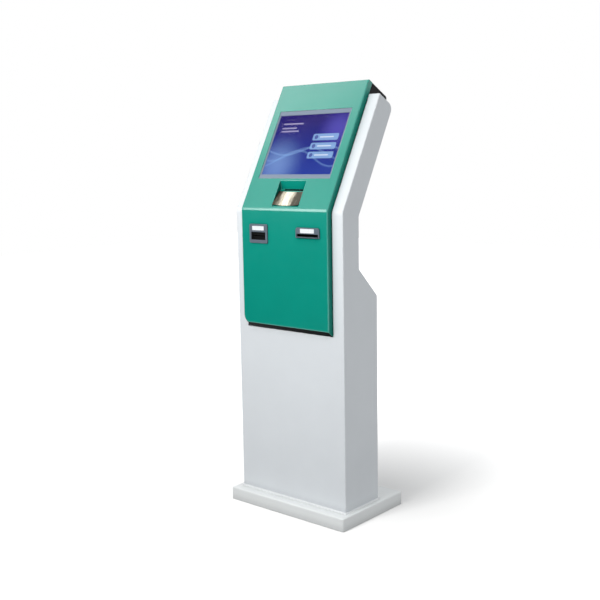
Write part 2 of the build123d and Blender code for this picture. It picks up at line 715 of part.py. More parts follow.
def ticket_scoop():
    """Dished steel plate that lies on the ramp of the recess and catches the ticket."""
    rise = RECESS_DEPTH - RECESS_FOOT_DEPTH
    run = RECESS_THROAT_S - RECESS_FOOT_S
    ramp = math.hypot(rise, run)
    foot = HEAD.from_local_coords(Vector(RECESS_X, RECESS_FOOT_S, FASCIA_PROUD - RECESS_FOOT_DEPTH))
    head = HEAD.from_local_coords(Vector(RECESS_X, RECESS_THROAT_S, FASCIA_PROUD - RECESS_DEPTH))
    plane = Plane(origin=foot, x_dir=(1, 0, 0), z_dir=head - foot)
    half = RECESS_WIDTH / 2 - SEAT_GAP
    low = ThreePointArc((-half, -SEAT_GAP - SCOOP_SAG), (0, -SEAT_GAP), (half, -SEAT_GAP - SCOOP_SAG))
    high = Pos(0, -SCOOP_SHEET, 0) * low
    ends = [Line(low @ side, high @ side) for side in (0, 1)]
    section = make_face([low, ends[1], high, ends[0]])
    start = SCOOP_SAG
    return extrude(plane.offset(start) * section, ramp - start - 2 * TICKET_MOUTH_HEIGHT)


def screen_bezel():
    """Grey frame set into the fascia's window, with a flange behind the sheet."""
    back = FASCIA_PROUD - FASCIA_SHEET - BEZEL_FLANGE_DEPTH
    front = FASCIA_PROUD - BEZEL_RECESS
    across = around(0, BEZEL_WIDTH)
    along = around(SCREEN_S, BEZEL_HEIGHT)
    frame = block(across, along, (back, front))
    frame += block(
        around(0, BEZEL_WIDTH + 2 * BEZEL_FLANGE),
        around(SCREEN_S, BEZEL_HEIGHT + 2 * BEZEL_FLANGE),
        (back, FASCIA_PROUD - FASCIA_SHEET),
    )
    frame -= block(around(0, VIEW_WIDTH), around(SCREEN_S, VIEW_HEIGHT), (back, front))
    inner = frame.faces().sort_by(Axis.Z)[-1].inner_wires()[0].edges()
    return HEAD * chamfer(inner, VIEW_BEVEL)


def screen_layers():
    """Out places of the glass, display and chassis, each behind the one before."""
    glass_front = FASCIA_PROUD - FASCIA_SHEET - BEZEL_FLANGE_DEPTH - SCREEN_GAP
    glass_back = glass_front - GLASS_DEPTH
    display_back = glass_back - SEAT_GAP - DISPLAY_DEPTH
    return glass_front, glass_back, display_back, display_back - CHASSIS_DEPTH


def screen_sheet(margin, out):
    """Rectangular layer of the screen, larger than the view by a margin all round."""
    across = around(0, VIEW_WIDTH + 2 * margin)
    return block(across, around(SCREEN_S, VIEW_HEIGHT + 2 * margin), out)


def touch_glass():
    """Touch glass in front of the display."""
    glass_front, glass_back, _, _ = screen_layers()
    return HEAD * screen_sheet(GLASS_MARGIN, (glass_back, glass_front))


def display_panel():
    """Flat display behind the glass."""
    _, glass_back, display_back, _ = screen_layers()
    return HEAD * screen_sheet(DISPLAY_MARGIN, (display_back, glass_back - SEAT_GAP))


def chassis_form(inset):
    """Form of the screen's chassis, stepped down towards its back, moved in by a wall."""
    _, _, display_back, chassis_back = screen_layers()
    step = chassis_back + CHASSIS_STEP_DEPTH
    front = screen_sheet(CHASSIS_MARGIN - inset, (step + inset, display_back - inset))
    rear = screen_sheet(CHASSIS_MARGIN - CHASSIS_STEP - inset, (chassis_back + inset, step + inset))
    return front + rear


def monitor_chassis():
    """Hollow steel chassis of the screen with vents in its back."""
    body = fillet(chassis_form(0).edges().filter_by(Axis.Z), CHASSIS_RADIUS)
    vents = slot_row(CHASSIS_VENT_LENGTH, CHASSIS_VENT_WIDTH, CHASSIS_VENT_PITCH, CHASSIS_VENTS, OVERRUN)
    low = SCREEN_S - CHASSIS_VENT_PITCH * (CHASSIS_VENTS - 1) / 2
    return HEAD * (body - chassis_form(CASE_SHEET) - Pos(0, low, screen_layers()[3]) * vents)


def monitor_rails():
    """Two channels across the head that carry the screen between the side walls."""
    back = screen_layers()[3]
    rails = []
    for s in around(SCREEN_S, MONITOR_RAIL_SPACING):
        along = around(s, MONITOR_RAIL_HEIGHT)
        rail = block((-INNER_X, INNER_X), along, (back - MONITOR_RAIL_DEPTH, back))
        hollow = around(0, 2 * (INNER_X - RAIL_SHEET))
        thin = around(s, MONITOR_RAIL_HEIGHT - 2 * RAIL_SHEET)
        rail -= block(hollow, thin, (back - MONITOR_RAIL_DEPTH, back - RAIL_SHEET))
        for x in around(0, MONITOR_SCREW_SPACING):
            rail -= z_rod(SCREW_RADIUS + HOLE_CLEARANCE, x, s, (back - MONITOR_RAIL_DEPTH, back))
        rails.append(HEAD * rail)
    return Compound(children=rails)


def screw(length):
    """Pan-head screw along local Z, its head above the origin."""
    shank = z_rod(SCREW_RADIUS, 0, 0, (-length, 0))
    head = z_rod(SCREW_HEAD_RADIUS, 0, 0, (0, SCREW_HEAD_HEIGHT))
    return shank + fillet(head.edges().sort_by(Axis.Z)[-1], SCREW_HEAD_HEIGHT / 2)


def monitor_screw_places():
    """Places of the screws through the rails into the back of the screen's chassis."""
    back = screen_layers()[3]
    seat = HEAD.location * Pos(0, SCREEN_S, back - RAIL_SHEET)
    places = GridLocations(MONITOR_SCREW_SPACING, MONITOR_RAIL_SPACING, 2, 2)
    return [seat * place * Rot(180, 0, 0) for place in places]


def cover_outline(inset, front, low_front):
    """Side outline of the black cover: shallow behind the wings, full depth above them."""
    back = -(HEAD_DEPTH + COVER_PROUD - inset)
    top = FASCIA_TOP_S - inset
    round_radius = COVER_CORNER_RADIUS - inset
    corners = {
        (COVER_FOOT_S + inset, low_front): 0,
        (COVER_FOOT_S + inset, back): round_radius,
        (top, back): round_radius,
        (top, front): 0,
        (WING_LENGTH + COVER_WING_GAP, front): 0,
        (WING_LENGTH + COVER_WING_GAP, low_front): 0,
    }
    return [head_point(*point) for point in corners], list(corners.values())


def head_cover():
    """Black cover behind the head: rear wall, hood above the wings and fixing flanges."""
    half = COVER_WIDTH / 2
    points, radii = cover_outline(0, -COVER_FRONT_GAP, -HEAD_DEPTH)
    cover = side_slab(points, (-half, half), radii)
    inner = half - COVER_SHEET
    points, radii = cover_outline(COVER_SHEET, OVERRUN, OVERRUN)
    cover -= side_slab(points, (-inner, inner), radii)
    seat = (-HEAD_DEPTH - COVER_SHEET, -HEAD_DEPTH)
    flange_s = (COVER_FOOT_S - COVER_FLANGE, COVER_FLANGE_TOP_S)
    flange = block(around(0, COVER_WIDTH + 2 * COVER_FLANGE), flange_s, seat)
    flange -= block((-inner, inner), (COVER_FOOT_S + COVER_SHEET, COVER_FLANGE_TOP_S), seat)
    cover += HEAD * flange
    vents = slot_row(COVER_VENT_LENGTH, COVER_VENT_WIDTH, COVER_VENT_PITCH, COVER_VENT_COUNT, 2 * OVERRUN)
    cover -= HEAD * (Pos(0, COVER_VENT_FOOT_S, -HEAD_DEPTH - COVER_PROUD) * vents)
    bore = z_rod(SCREW_RADIUS + HOLE_CLEARANCE, 0, 0, around(0, 2 * OVERRUN))
    return cover - [place * bore for place in cover_screw_places()]


def cover_screw_places():
    """Places of the screws through the cover's flanges, their heads facing back."""
    x = COVER_WIDTH / 2 + COVER_FLANGE / 2
    first = COVER_FOOT_S
    step = (COVER_FLANGE_TOP_S - COVER_FLANGE - first) / (COVER_SCREW_COUNT - 1)
    heights = [first + step * i for i in range(COVER_SCREW_COUNT)]
    seats = [Pos(side, s, -HEAD_DEPTH - COVER_SHEET) for side in (-x, x) for s in heights]
    return [HEAD.location * seat * Rot(180, 0, 0) for seat in seats]


def head_screws():
    """Pan-head screws of the head: screen on its rails, black cover on the wings."""
    screws = [place * screw(RAIL_SHEET) for place in monitor_screw_places()]
    screws += [place * screw(COVER_SHEET) for place in cover_screw_places()]
    return Compound(children=screws)


# Fascia hinges and gas struts

HINGE_S = FASCIA_TOP_S - FASCIA_SHEET - HINGE_BARREL_RADIUS - KNUCKLE_GAP
HINGE_OUT = HINGE_BARREL_RADIUS
HINGE_RAIL_S = HINGE_S - HINGE_BARREL_RADIUS


def hinge_rail():
    """Angle under the cover's top that carries the fixed hinge leaves."""
    x = around(0, COVER_WIDTH - 2 * COVER_SHEET)
    depth = (-COVER_FRONT_GAP - HINGE_RAIL_DEPTH, -COVER_FRONT_GAP)
    bar = block(x, (HINGE_RAIL_S - HINGE_RAIL_HEIGHT, HINGE_RAIL_S), depth)
    hollow = (HINGE_RAIL_S - HINGE_RAIL_HEIGHT, HINGE_RAIL_S - RAIL_SHEET)
    return HEAD * (bar - block(x, hollow, (depth[0] + RAIL_SHEET, depth[1])))


def knuckles(spans):
    """Hinge barrel pieces along X over the given spans, in the head plane."""
    return [x_rod(HINGE_BARREL_RADIUS, span, HINGE_S, HINGE_OUT) for span in spans]


def hinge_leaf(centre, fixed):
    """One leaf of a fascia hinge with its knuckles: the fixed one holds the ends of the pin."""
    third = HINGE_LENGTH / 3
    ends = around(centre, HINGE_LENGTH)
    gap = KNUCKLE_GAP / 2
    outer = [(ends[0], ends[0] + third - gap), (ends[1] - third + gap, ends[1])]
    inner = [(ends[0] + third + gap, ends[1] - third - gap)]
    spans = outer if fixed else inner
    reach = HINGE_OUT - COVER_FRONT_GAP - HINGE_RAIL_DEPTH
    leaf_s = (HINGE_RAIL_S, HINGE_RAIL_S + HINGE_LEAF) if fixed else around_top()
    leaf_out = (reach, HINGE_OUT) if fixed else (HINGE_OUT, HINGE_OUT + HINGE_LEAF_REACH)
    leaf = knuckles(spans) + [block(span, leaf_s, leaf_out) for span in spans]
    if fixed:
        behind = -COVER_FRONT_GAP
        leaf.append(block(ends, leaf_s, (reach, behind)))
    else:
        clear = HINGE_OUT + HINGE_BARREL_RADIUS + KNUCKLE_GAP
        leaf.append(block(ends, leaf_s, (clear, HINGE_OUT + HINGE_LEAF_REACH)))
    bore = HINGE_PIN_RADIUS if fixed else HINGE_PIN_RADIUS + RUNNING_CLEARANCE
    solid = leaf[0] + leaf[1:]
    return HEAD * (solid - x_rod(bore, ends, HINGE_S, HINGE_OUT))


def around_top():
    """Span up the lean of the moving leaf, under the fascia's top wall."""
    top = FASCIA_TOP_S - FASCIA_SHEET
    return (top - HINGE_LEAF, top)


def fascia_hinge_leaves(fixed):
    """Fixed or moving leaves of both fascia hinges."""
    return Compound(children=[hinge_leaf(x, fixed) for x in around(0, HINGE_SPACING)])


def strut_plane():
    """Plane at the strut's lower pivot: local x across, local z along the closed strut."""
    foot = HEAD.from_local_coords(Vector(STRUT_X, STRUT_FOOT_S, STRUT_FOOT_OUT))
    head = HEAD.from_local_coords(Vector(STRUT_X, STRUT_HEAD_S, STRUT_HEAD_OUT))
    return Plane(origin=foot, x_dir=(1, 0, 0), z_dir=head - foot), (head - foot).length


def strut_tubes():
    """Pressure tubes of the two gas struts, with the eye at their lower end."""
    plane, length = strut_plane()
    top = length - STRUT_ROD_SHOWN
    tube = z_rod(STRUT_TUBE_RADIUS, 0, 0, (STRUT_STUD_RADIUS, top))
    tube = fillet(tube.edges().sort_by(Axis.Z)[-1], STRUT_TUBE_RADIUS / 4)
    tube += x_rod(STRUT_END_RADIUS, around(0, STRUT_END_WIDTH), 0, 0)
    tube -= x_rod(STRUT_STUD_RADIUS + RUNNING_CLEARANCE, around(0, 2 * STRUT_END_WIDTH), 0, 0)
    low = length - STRUT_ROD_LENGTH - STRUT_TUBE_RADIUS
    tube -= z_rod(STRUT_ROD_RADIUS + RUNNING_CLEARANCE, 0, 0, (low, top + OVERRUN))
    return mirrored(plane * tube)


def strut_rods():
    """Rods of the two gas struts, with the socket at their upper end."""
    plane, length = strut_plane()
    rod = z_rod(STRUT_ROD_RADIUS, 0, 0, (length - STRUT_ROD_LENGTH, length))
    rod += x_rod(STRUT_END_RADIUS, around(0, STRUT_END_WIDTH), 0, length)
    return mirrored(plane * rod)


def strut_brackets():
    """Angle brackets behind the wings, with the stud each strut turns on."""
    along = around(STRUT_FOOT_S, STRUT_BRACKET_HEIGHT)
    inner = OPENING_X
    depth = STRUT_FOOT_OUT - STRUT_BRACKET_HEIGHT / 2
    web = block((inner, inner + STRUT_BRACKET_SHEET), along, (depth, -SHEET))
    foot = block((inner, INNER_X), along, (-SHEET - STRUT_BRACKET_SHEET, -SHEET))
    stud = x_rod(STRUT_STUD_RADIUS, (STRUT_X - STRUT_END_WIDTH / 2, inner), STRUT_FOOT_S, STRUT_FOOT_OUT)
    return mirrored(HEAD * (web + foot + stud))


def strut_lugs():
    """Lugs on the fascia's sides beside the upper ends of the struts."""
    inner = STRUT_X + STRUT_END_WIDTH / 2 + STRUT_LUG_GAP
    wall = FASCIA_WIDTH / 2 - FASCIA_SHEET
    size = STRUT_LUG_SIZE
    lug = block((inner, wall), around(STRUT_HEAD_S, size), around(STRUT_HEAD_OUT, size))
    return mirrored(HEAD * fillet(lug.edges().filter_by(Axis.X), size / 4))


# Card reader and receipt slot

def throat_area(gap):
    """Spans across and up of the card throat, grown by a gap."""
    z = CARD_BEZEL_Z + THROAT_RISE + THROAT_HEIGHT / 2
    return around(CARD_X, THROAT_WIDTH + 2 * gap), around(z, THROAT_HEIGHT + 2 * gap)


def receipt_slot_area(gap):
    """Spans across and up of the receipt slot, grown by a gap."""
    z = RECEIPT_BEZEL_Z + RECEIPT_SLOT_RISE + RECEIPT_SLOT_HEIGHT / 2
    return around(RECEIPT_X, RECEIPT_SLOT_WIDTH + 2 * gap), around(z, RECEIPT_SLOT_HEIGHT + 2 * gap)


def card_bezel():
    """Bezel round the card throat, with its front edge broken."""
    plate = rounded_plate(CARD_BEZEL_WIDTH, CARD_BEZEL_HEIGHT, CARD_BEZEL_DEPTH, CARD_BEZEL_RADIUS)
    plate = Pos(CARD_X, CARD_BEZEL_Z + CARD_BEZEL_HEIGHT / 2, 0) * plate
    plate = chamfer(plate.faces().sort_by(Axis.Z)[-1].edges(), BEZEL_CHAMFER)
    return FACE * (plate - block(*throat_area(0), (0, CARD_BEZEL_DEPTH)))


def card_throat():
    """Black insert in the bezel whose funnel leads a card into the slot."""
    front = CARD_BEZEL_DEPTH - THROAT_SET_BACK
    x, z = throat_area(0)
    insert = block(x, z, (front - THROAT_DEPTH, front))
    funnel = Rectangle(THROAT_WIDTH - 2 * THROAT_WALL, THROAT_HEIGHT - 2 * THROAT_WALL)
    centre = Pos(CARD_X, middle(*z), front)
    insert -= centre * extrude(funnel, -THROAT_FUNNEL, taper=THROAT_TAPER)
    return FACE * (insert - centre * Box(CARD_SLOT_WIDTH, CARD_SLOT_HEIGHT, 2 * THROAT_DEPTH + OVERRUN))


def label_plate(width, height, centre_x, low_z, seat):
    """Thin bare plate on the front of a bezel."""
    plate = rounded_plate(width, height, LABEL_DEPTH, LABEL_RADIUS)
    return FACE * (Pos(centre_x, low_z + height / 2, seat) * plate)


def label_plates():
    """Bare plates above the card throat and the receipt slot."""
    card = CARD_BEZEL_Z + CARD_LABEL_RISE
    receipt = RECEIPT_BEZEL_Z + RECEIPT_LABEL_RISE
    plates = [
        label_plate(CARD_LABEL_WIDTH, CARD_LABEL_HEIGHT, CARD_X, card, CARD_BEZEL_DEPTH),
        label_plate(RECEIPT_LABEL_WIDTH, RECEIPT_LABEL_HEIGHT, RECEIPT_X, receipt, RECEIPT_BEZEL_DEPTH),
    ]
    return Compound(children=plates)


def receipt_bezel():
    """Bezel round the receipt slot, with round shoulders and a lip under the slot."""
    half = RECEIPT_BEZEL_WIDTH / 2
    low = RECEIPT_BEZEL_Z
    high = low + RECEIPT_BEZEL_HEIGHT
    corners = {
        (RECEIPT_X - half, low): BEZEL_CHAMFER,
        (RECEIPT_X + half, low): BEZEL_CHAMFER,
        (RECEIPT_X + half, high): RECEIPT_SHOULDER_RADIUS,
        (RECEIPT_X - half, high): RECEIPT_SHOULDER_RADIUS,
    }
    outline = FilletPolyline(*corners, radius=list(corners.values()), close=True)
    plate = extrude(make_face(outline), RECEIPT_BEZEL_DEPTH)
    plate = chamfer(plate.faces().sort_by(Axis.Z)[-1].edges(), BEZEL_CHAMFER)
    slot_x, slot_z = receipt_slot_area(0)
    lip = block(slot_x, (low + BEZEL_CHAMFER, slot_z[0]), (0, RECEIPT_BEZEL_DEPTH + RECEIPT_LIP_DEPTH))
    nose = lip.faces().sort_by(Axis.Z)[-1].edges().sort_by(Axis.Y)[0]
    plate += chamfer(nose, RECEIPT_SLOT_RISE / 2)
    return FACE * (plate - block(slot_x, slot_z, (0, RECEIPT_BEZEL_DEPTH)))


def card_reader():
    """Card reader on its shelf behind the throat, with the slot the card runs in."""
    front = FRONT_Y - FASCIA_PROUD - CARD_BEZEL_DEPTH + THROAT_SET_BACK + THROAT_DEPTH + MODULE_GAP
    body = block(
        around(CARD_X, CARD_READER_WIDTH),
        (front, FRONT_Y + MODULE_BACK),
        (DEVICE_SHELF_Z, DEVICE_SHELF_Z + CARD_READER_HEIGHT),
    )
    body = fillet(body.edges().filter_by(Axis.Y), MODULE_RADIUS)
    slot_z = around(middle(*throat_area(0)[1]), CARD_SLOT_HEIGHT)
    return body - block(around(CARD_X, CARD_SLOT_WIDTH), (front, front + MODULE_BACK / 2), slot_z)


def receipt_printer():
    """Receipt printer on its shelf behind the slot, with its paper mouth."""
    front = FRONT_Y - FASCIA_PROUD + FASCIA_SHEET + MODULE_GAP
    body = block(
        around(RECEIPT_X, RECEIPT_PRINTER_WIDTH),
        (front, FRONT_Y + MODULE_BACK),
        (DEVICE_SHELF_Z, DEVICE_SHELF_Z + RECEIPT_PRINTER_HEIGHT),
    )
    body = fillet(body.edges().filter_by(Axis.Y), MODULE_RADIUS)
    slot_x, slot_z = receipt_slot_area(0)
    return body - block(slot_x, (front, front + RECEIPT_MOUTH_DEPTH), slot_z)


# Ticket printer

PRINTER_TOP = PRINTER_SHELF_Z + PRINTER_HEIGHT
PLATEN_Y = FRONT_Y + PLATEN_BACK
PLATEN_Z = PRINTER_SHELF_Z + PLATEN_RISE
WEB_FACE_Y = FRONT_Y + WEB_Y - WEB_THICKNESS / 2 - WEB_GAP
MOTOR_Y = FRONT_Y + MOTOR_BACK
MOTOR_Z = PLATEN_Z + GEAR_CENTRES * math.sin(math.radians(MOTOR_ANGLE))
PRINTER_HALF = PRINTER_INNER_WIDTH / 2
CUTTER_Z = PRINTER_SHELF_Z + CUTTER_RISE
BLADE_Z = CUTTER_Z + BLADE_GAP
BLADE_Y = FRONT_Y + WEB_Y + BLADE_SET_BACK
SOLENOID_Y = BLADE_Y + BLADE_DEPTH + SOLENOID_GAP
GEAR_NEAR_X = RECESS_X + PRINTER_HALF + PRINTER_PLATE + GEAR_GAP
GEAR_X = (GEAR_NEAR_X, GEAR_NEAR_X + GEAR_WIDTH)


def printer_frame():
    """Folded frame of the ticket printer: base, two cheeks with bearing holes, blade ledges and a bridge."""
    front = FRONT_Y + PRINTER_FRONT
    back = FRONT_Y + PRINTER_BACK
    foot = FRONT_Y + PRINTER_FOOT_BACK
    outline = [
        (front, PRINTER_SHELF_Z),
        (foot, PRINTER_SHELF_Z),
        (back, PRINTER_SHELF_Z + PRINTER_CHAMFER),
        (back, PRINTER_TOP),
        (front + PRINTER_CHAMFER, PRINTER_TOP),
        (front, PRINTER_TOP - PRINTER_CHAMFER),
    ]
    cheeks = (RECESS_X - PRINTER_HALF - PRINTER_PLATE, RECESS_X + PRINTER_HALF + PRINTER_PLATE)
    frame = side_slab(outline, cheeks)
    inside = around(RECESS_X, PRINTER_INNER_WIDTH)
    above = (PRINTER_SHELF_Z + PRINTER_PLATE, PRINTER_TOP + OVERRUN)
    frame -= block(inside, (front - OVERRUN, back + OVERRUN), above)
    frame -= x_rod(SHAFT_RADIUS + RUNNING_CLEARANCE, (2 * cheeks[0], 2 * cheeks[1]), PLATEN_Y, PLATEN_Z)
    outside = (RECESS_X, cheeks[1] + OVERRUN)
    frame -= x_rod(MOTOR_BOSS_RADIUS + HOLE_CLEARANCE, outside, MOTOR_Y, MOTOR_Z)
    ledge_y = (FRONT_Y + WEB_Y + BLADE_SET_BACK, SOLENOID_Y)
    ledge_z = (CUTTER_Z - PRINTER_PLATE, CUTTER_Z)
    for edge, side in ((inside[0], 1), (inside[1], -1)):
        span = sorted((edge, edge + side * BLADE_LEDGE_WIDTH))
        frame += block(span, ledge_y, ledge_z)
    bridge = BLADE_Z + BLADE_THICKNESS / 2 - SOLENOID_HEIGHT / 2
    frame += block(inside, (SOLENOID_Y, back), (bridge - BRIDGE_HEIGHT, bridge))
    web = around(FRONT_Y + WEB_Y, WEB_SLOT_DEPTH)
    slot = around(RECESS_X, WEB_WIDTH + WEB_SLOT_MARGIN)
    return frame - block(slot, web, around(PRINTER_SHELF_Z, 2 * OVERRUN))


def platen_roller():
    """Rubber sleeve that feeds the tickets."""
    sleeve = x_rod(PLATEN_RADIUS, around(RECESS_X, PLATEN_LENGTH), PLATEN_Y, PLATEN_Z)
    return sleeve - x_rod(SHAFT_RADIUS, around(RECESS_X, 2 * PLATEN_LENGTH), PLATEN_Y, PLATEN_Z)


def platen_shaft():
    """Shaft of the platen, held in the frame's cheeks."""
    low = RECESS_X - PRINTER_HALF - PRINTER_PLATE - SHAFT_END
    return x_rod(SHAFT_RADIUS, (low, GEAR_X[1]), PLATEN_Y, PLATEN_Z)


def gear_face(teeth, turn):
    """Spur gear outline: involute flanks given at root, pitch and tip, then mirrored and repeated."""
    pitch = GEAR_MODULE * teeth / 2
    base = pitch * math.cos(math.radians(PRESSURE_ANGLE))
    radii = [pitch - DEDENDUM_SHARE * GEAR_MODULE, pitch, pitch + ADDENDUM_SHARE * GEAR_MODULE]

    def involute(radius):
        angle = math.acos(min(1, base / radius))
        return math.tan(angle) - angle

    half_tooth = math.pi / (2 * teeth) - GEAR_BACKLASH / (2 * pitch)
    halves = [half_tooth + involute(pitch) - involute(radius) for radius in radii]
    points = []
    for i in range(teeth):
        centre = turn + 2 * math.pi * i / teeth
        flank = list(zip(radii, halves))
        points += [(r * math.cos(centre - h), r * math.sin(centre - h)) for r, h in flank]
        points += [(r * math.cos(centre + h), r * math.sin(centre + h)) for r, h in reversed(flank)]
    return make_face(Polyline(*points, close=True))


def gear_solid(teeth, turn, bore, y, z):
    """Spur gear on an axis along X."""
    face = gear_face(teeth, turn) - Circle(bore)
    return Pos(GEAR_X[0], y, z) * extrude(Plane.YZ * face, GEAR_WIDTH)


def platen_gear():
    """Large gear on the platen shaft, one tooth on the line of centres."""
    turn = math.radians(MOTOR_ANGLE)
    return gear_solid(GEAR_TEETH, turn, SHAFT_RADIUS + RUNNING_CLEARANCE, PLATEN_Y, PLATEN_Z)


def motor_pinion():
    """Pinion on the motor shaft, one gap on the line of centres."""
    turn = math.radians(MOTOR_ANGLE) + math.pi + math.pi / PINION_TEETH
    return gear_solid(PINION_TEETH, turn, MOTOR_SHAFT_RADIUS + RUNNING_CLEARANCE, MOTOR_Y, MOTOR_Z)


def feed_motor():
    """Stepper motor inside the right cheek, its boss and shaft reaching out to the pinion."""
    wall = RECESS_X + PRINTER_HALF
    motor = x_rod(MOTOR_RADIUS, (wall - MOTOR_LENGTH, wall), MOTOR_Y, MOTOR_Z)
    motor = fillet(motor.edges().sort_by(Axis.X)[0], MODULE_RADIUS)
    motor += x_rod(MOTOR_BOSS_RADIUS, (wall, wall + PRINTER_PLATE), MOTOR_Y, MOTOR_Z)
    return motor + x_rod(MOTOR_SHAFT_RADIUS, (wall, GEAR_X[1]), MOTOR_Y, MOTOR_Z)


def print_head():
    """Thermal print head on its finned bar, in front of the ticket web."""
    inside = around(RECESS_X, PRINTER_INNER_WIDTH)
    low = PLATEN_Z - PRINT_HEAD_HEIGHT / 2
    bar = block(inside, (WEB_FACE_Y - PRINT_HEAD_DEPTH, WEB_FACE_Y), around(PLATEN_Z, PRINT_HEAD_HEIGHT))
    pitch = PRINT_HEAD_HEIGHT / PRINT_HEAD_FINS
    for i in range(PRINT_HEAD_FINS):
        groove = around(low + pitch * (i + 0.5), PRINT_HEAD_FIN_WIDTH)
        front = WEB_FACE_Y - PRINT_HEAD_DEPTH
        bar -= block(inside, (front, front + PRINT_HEAD_FIN_DEPTH), groove)
    return bar


def cutter_bed():
    """Fixed knife in front of the web, its sharp edge level with the moving blade."""
    z = (CUTTER_Z - CUTTER_BED_HEIGHT, CUTTER_Z)
    bar = block(around(RECESS_X, PRINTER_INNER_WIDTH), (WEB_FACE_Y - CUTTER_BED_DEPTH, WEB_FACE_Y), z)
    lower = bar.edges().filter_by(Axis.X).sort_by(Axis.Z)[0:2].sort_by(Axis.Y)[-1]
    return chamfer(lower, CUTTER_BED_HEIGHT / 2)


def cutter_blade():
    """Sliding knife with a V-shaped edge, and the plunger that drives it."""
    half = PRINTER_HALF - BLADE_SIDE_GAP
    edge = BLADE_Y
    points = [
        (RECESS_X - half, edge),
        (RECESS_X, edge + BLADE_EDGE),
        (RECESS_X + half, edge),
        (RECESS_X + half, edge + BLADE_DEPTH),
        (RECESS_X - half, edge + BLADE_DEPTH),
    ]
    plate = Pos(0, 0, BLADE_Z) * extrude(make_face(Polyline(*points, close=True)), BLADE_THICKNESS)
    rear = (edge + BLADE_DEPTH - PLUNGER_RADIUS, edge + BLADE_DEPTH + PLUNGER_LENGTH)
    return plate + y_rod(PLUNGER_RADIUS, RECESS_X, rear, BLADE_Z + BLADE_THICKNESS / 2)


def cutter_solenoid():
    """Solenoid that pulls and pushes the knife, on the bridge behind it."""
    axis_z = BLADE_Z + BLADE_THICKNESS / 2
    y = (SOLENOID_Y, SOLENOID_Y + SOLENOID_DEPTH)
    coil = block(around(RECESS_X, SOLENOID_WIDTH), y, around(axis_z, SOLENOID_HEIGHT))
    coil = fillet(coil.edges().filter_by(Axis.Y), MODULE_RADIUS)
    through = (y[0] - OVERRUN, y[1] + OVERRUN)
    return coil - y_rod(PLUNGER_RADIUS + RUNNING_CLEARANCE, RECESS_X, through, axis_z)


def ticket_deflector():
    """Leaning plate above the knife that turns the ticket forward into the recess."""
    low = BLADE_Z + BLADE_THICKNESS + BLADE_GAP
    high = PRINTER_TOP
    foot = BLADE_Y + DEFLECTOR_LEAN
    lean = foot - DEFLECTOR_LEAN
    points = [
        (foot, low),
        (foot + DEFLECTOR_SHEET, low),
        (lean + DEFLECTOR_SHEET, high),
        (lean, high),
    ]
    return side_slab(points, around(RECESS_X, PRINTER_INNER_WIDTH))


def ticket_web():
    """Ticket paper from the roll up to the knife."""
    y = around(FRONT_Y + WEB_Y, WEB_THICKNESS)
    return block(around(RECESS_X, WEB_WIDTH), y, (ROLL_Z, CUTTER_Z - CUTTER_BED_HEIGHT / 2))


ROLL_Y = FRONT_Y + WEB_Y + WEB_THICKNESS / 2 + WEB_GAP + ROLL_RADIUS


def ticket_roll():
    """Roll of ticket paper wound on its core."""
    roll = x_rod(ROLL_RADIUS, around(RECESS_X, WEB_WIDTH), ROLL_Y, ROLL_Z)
    return roll - x_rod(CORE_RADIUS, around(RECESS_X, 2 * WEB_WIDTH), ROLL_Y, ROLL_Z)


def roll_core():
    """Cardboard core of the ticket roll, turning on the spindle."""
    core = x_rod(CORE_RADIUS, around(RECESS_X, WEB_WIDTH), ROLL_Y, ROLL_Z)
    return core - x_rod(CORE_RADIUS - CORE_WALL, around(RECESS_X, 2 * WEB_WIDTH), ROLL_Y, ROLL_Z)


def roll_spindle():
    """Hollow spindle through the core, held in both cheeks."""
    width = WEB_WIDTH + 2 * (CHEEK_GAP + CHEEK_SHEET)
    spindle = x_rod(SPINDLE_RADIUS, around(RECESS_X, width), ROLL_Y, ROLL_Z)
    return spindle - x_rod(SPINDLE_BORE, around(RECESS_X, 2 * width), ROLL_Y, ROLL_Z)


def roll_bracket():
    """Bracket on the inside of the front wall with two cheeks for the spindle."""
    wall = FRONT_Y + SHEET
    nose = ROLL_Y + CHEEK_OVER
    low, high = around(ROLL_Z, CHEEK_HEIGHT)
    outline = [(wall, low), (nose, low), (nose, high), (wall, high)]
    half = WEB_WIDTH / 2 + CHEEK_GAP
    x = (RECESS_X - half - CHEEK_SHEET, RECESS_X + half + CHEEK_SHEET)
    bracket = side_slab(outline, x, [0, CHEEK_NOSE_RADIUS, CHEEK_NOSE_RADIUS, 0])
    between = (wall + CHEEK_SHEET, nose + OVERRUN)
    bracket -= block(around(RECESS_X, 2 * half), between, (low - OVERRUN, high + OVERRUN))
    return bracket - x_rod(SPINDLE_RADIUS + HOLE_CLEARANCE, (x[0] - OVERRUN, x[1] + OVERRUN), ROLL_Y, ROLL_Z)


# Computer and power

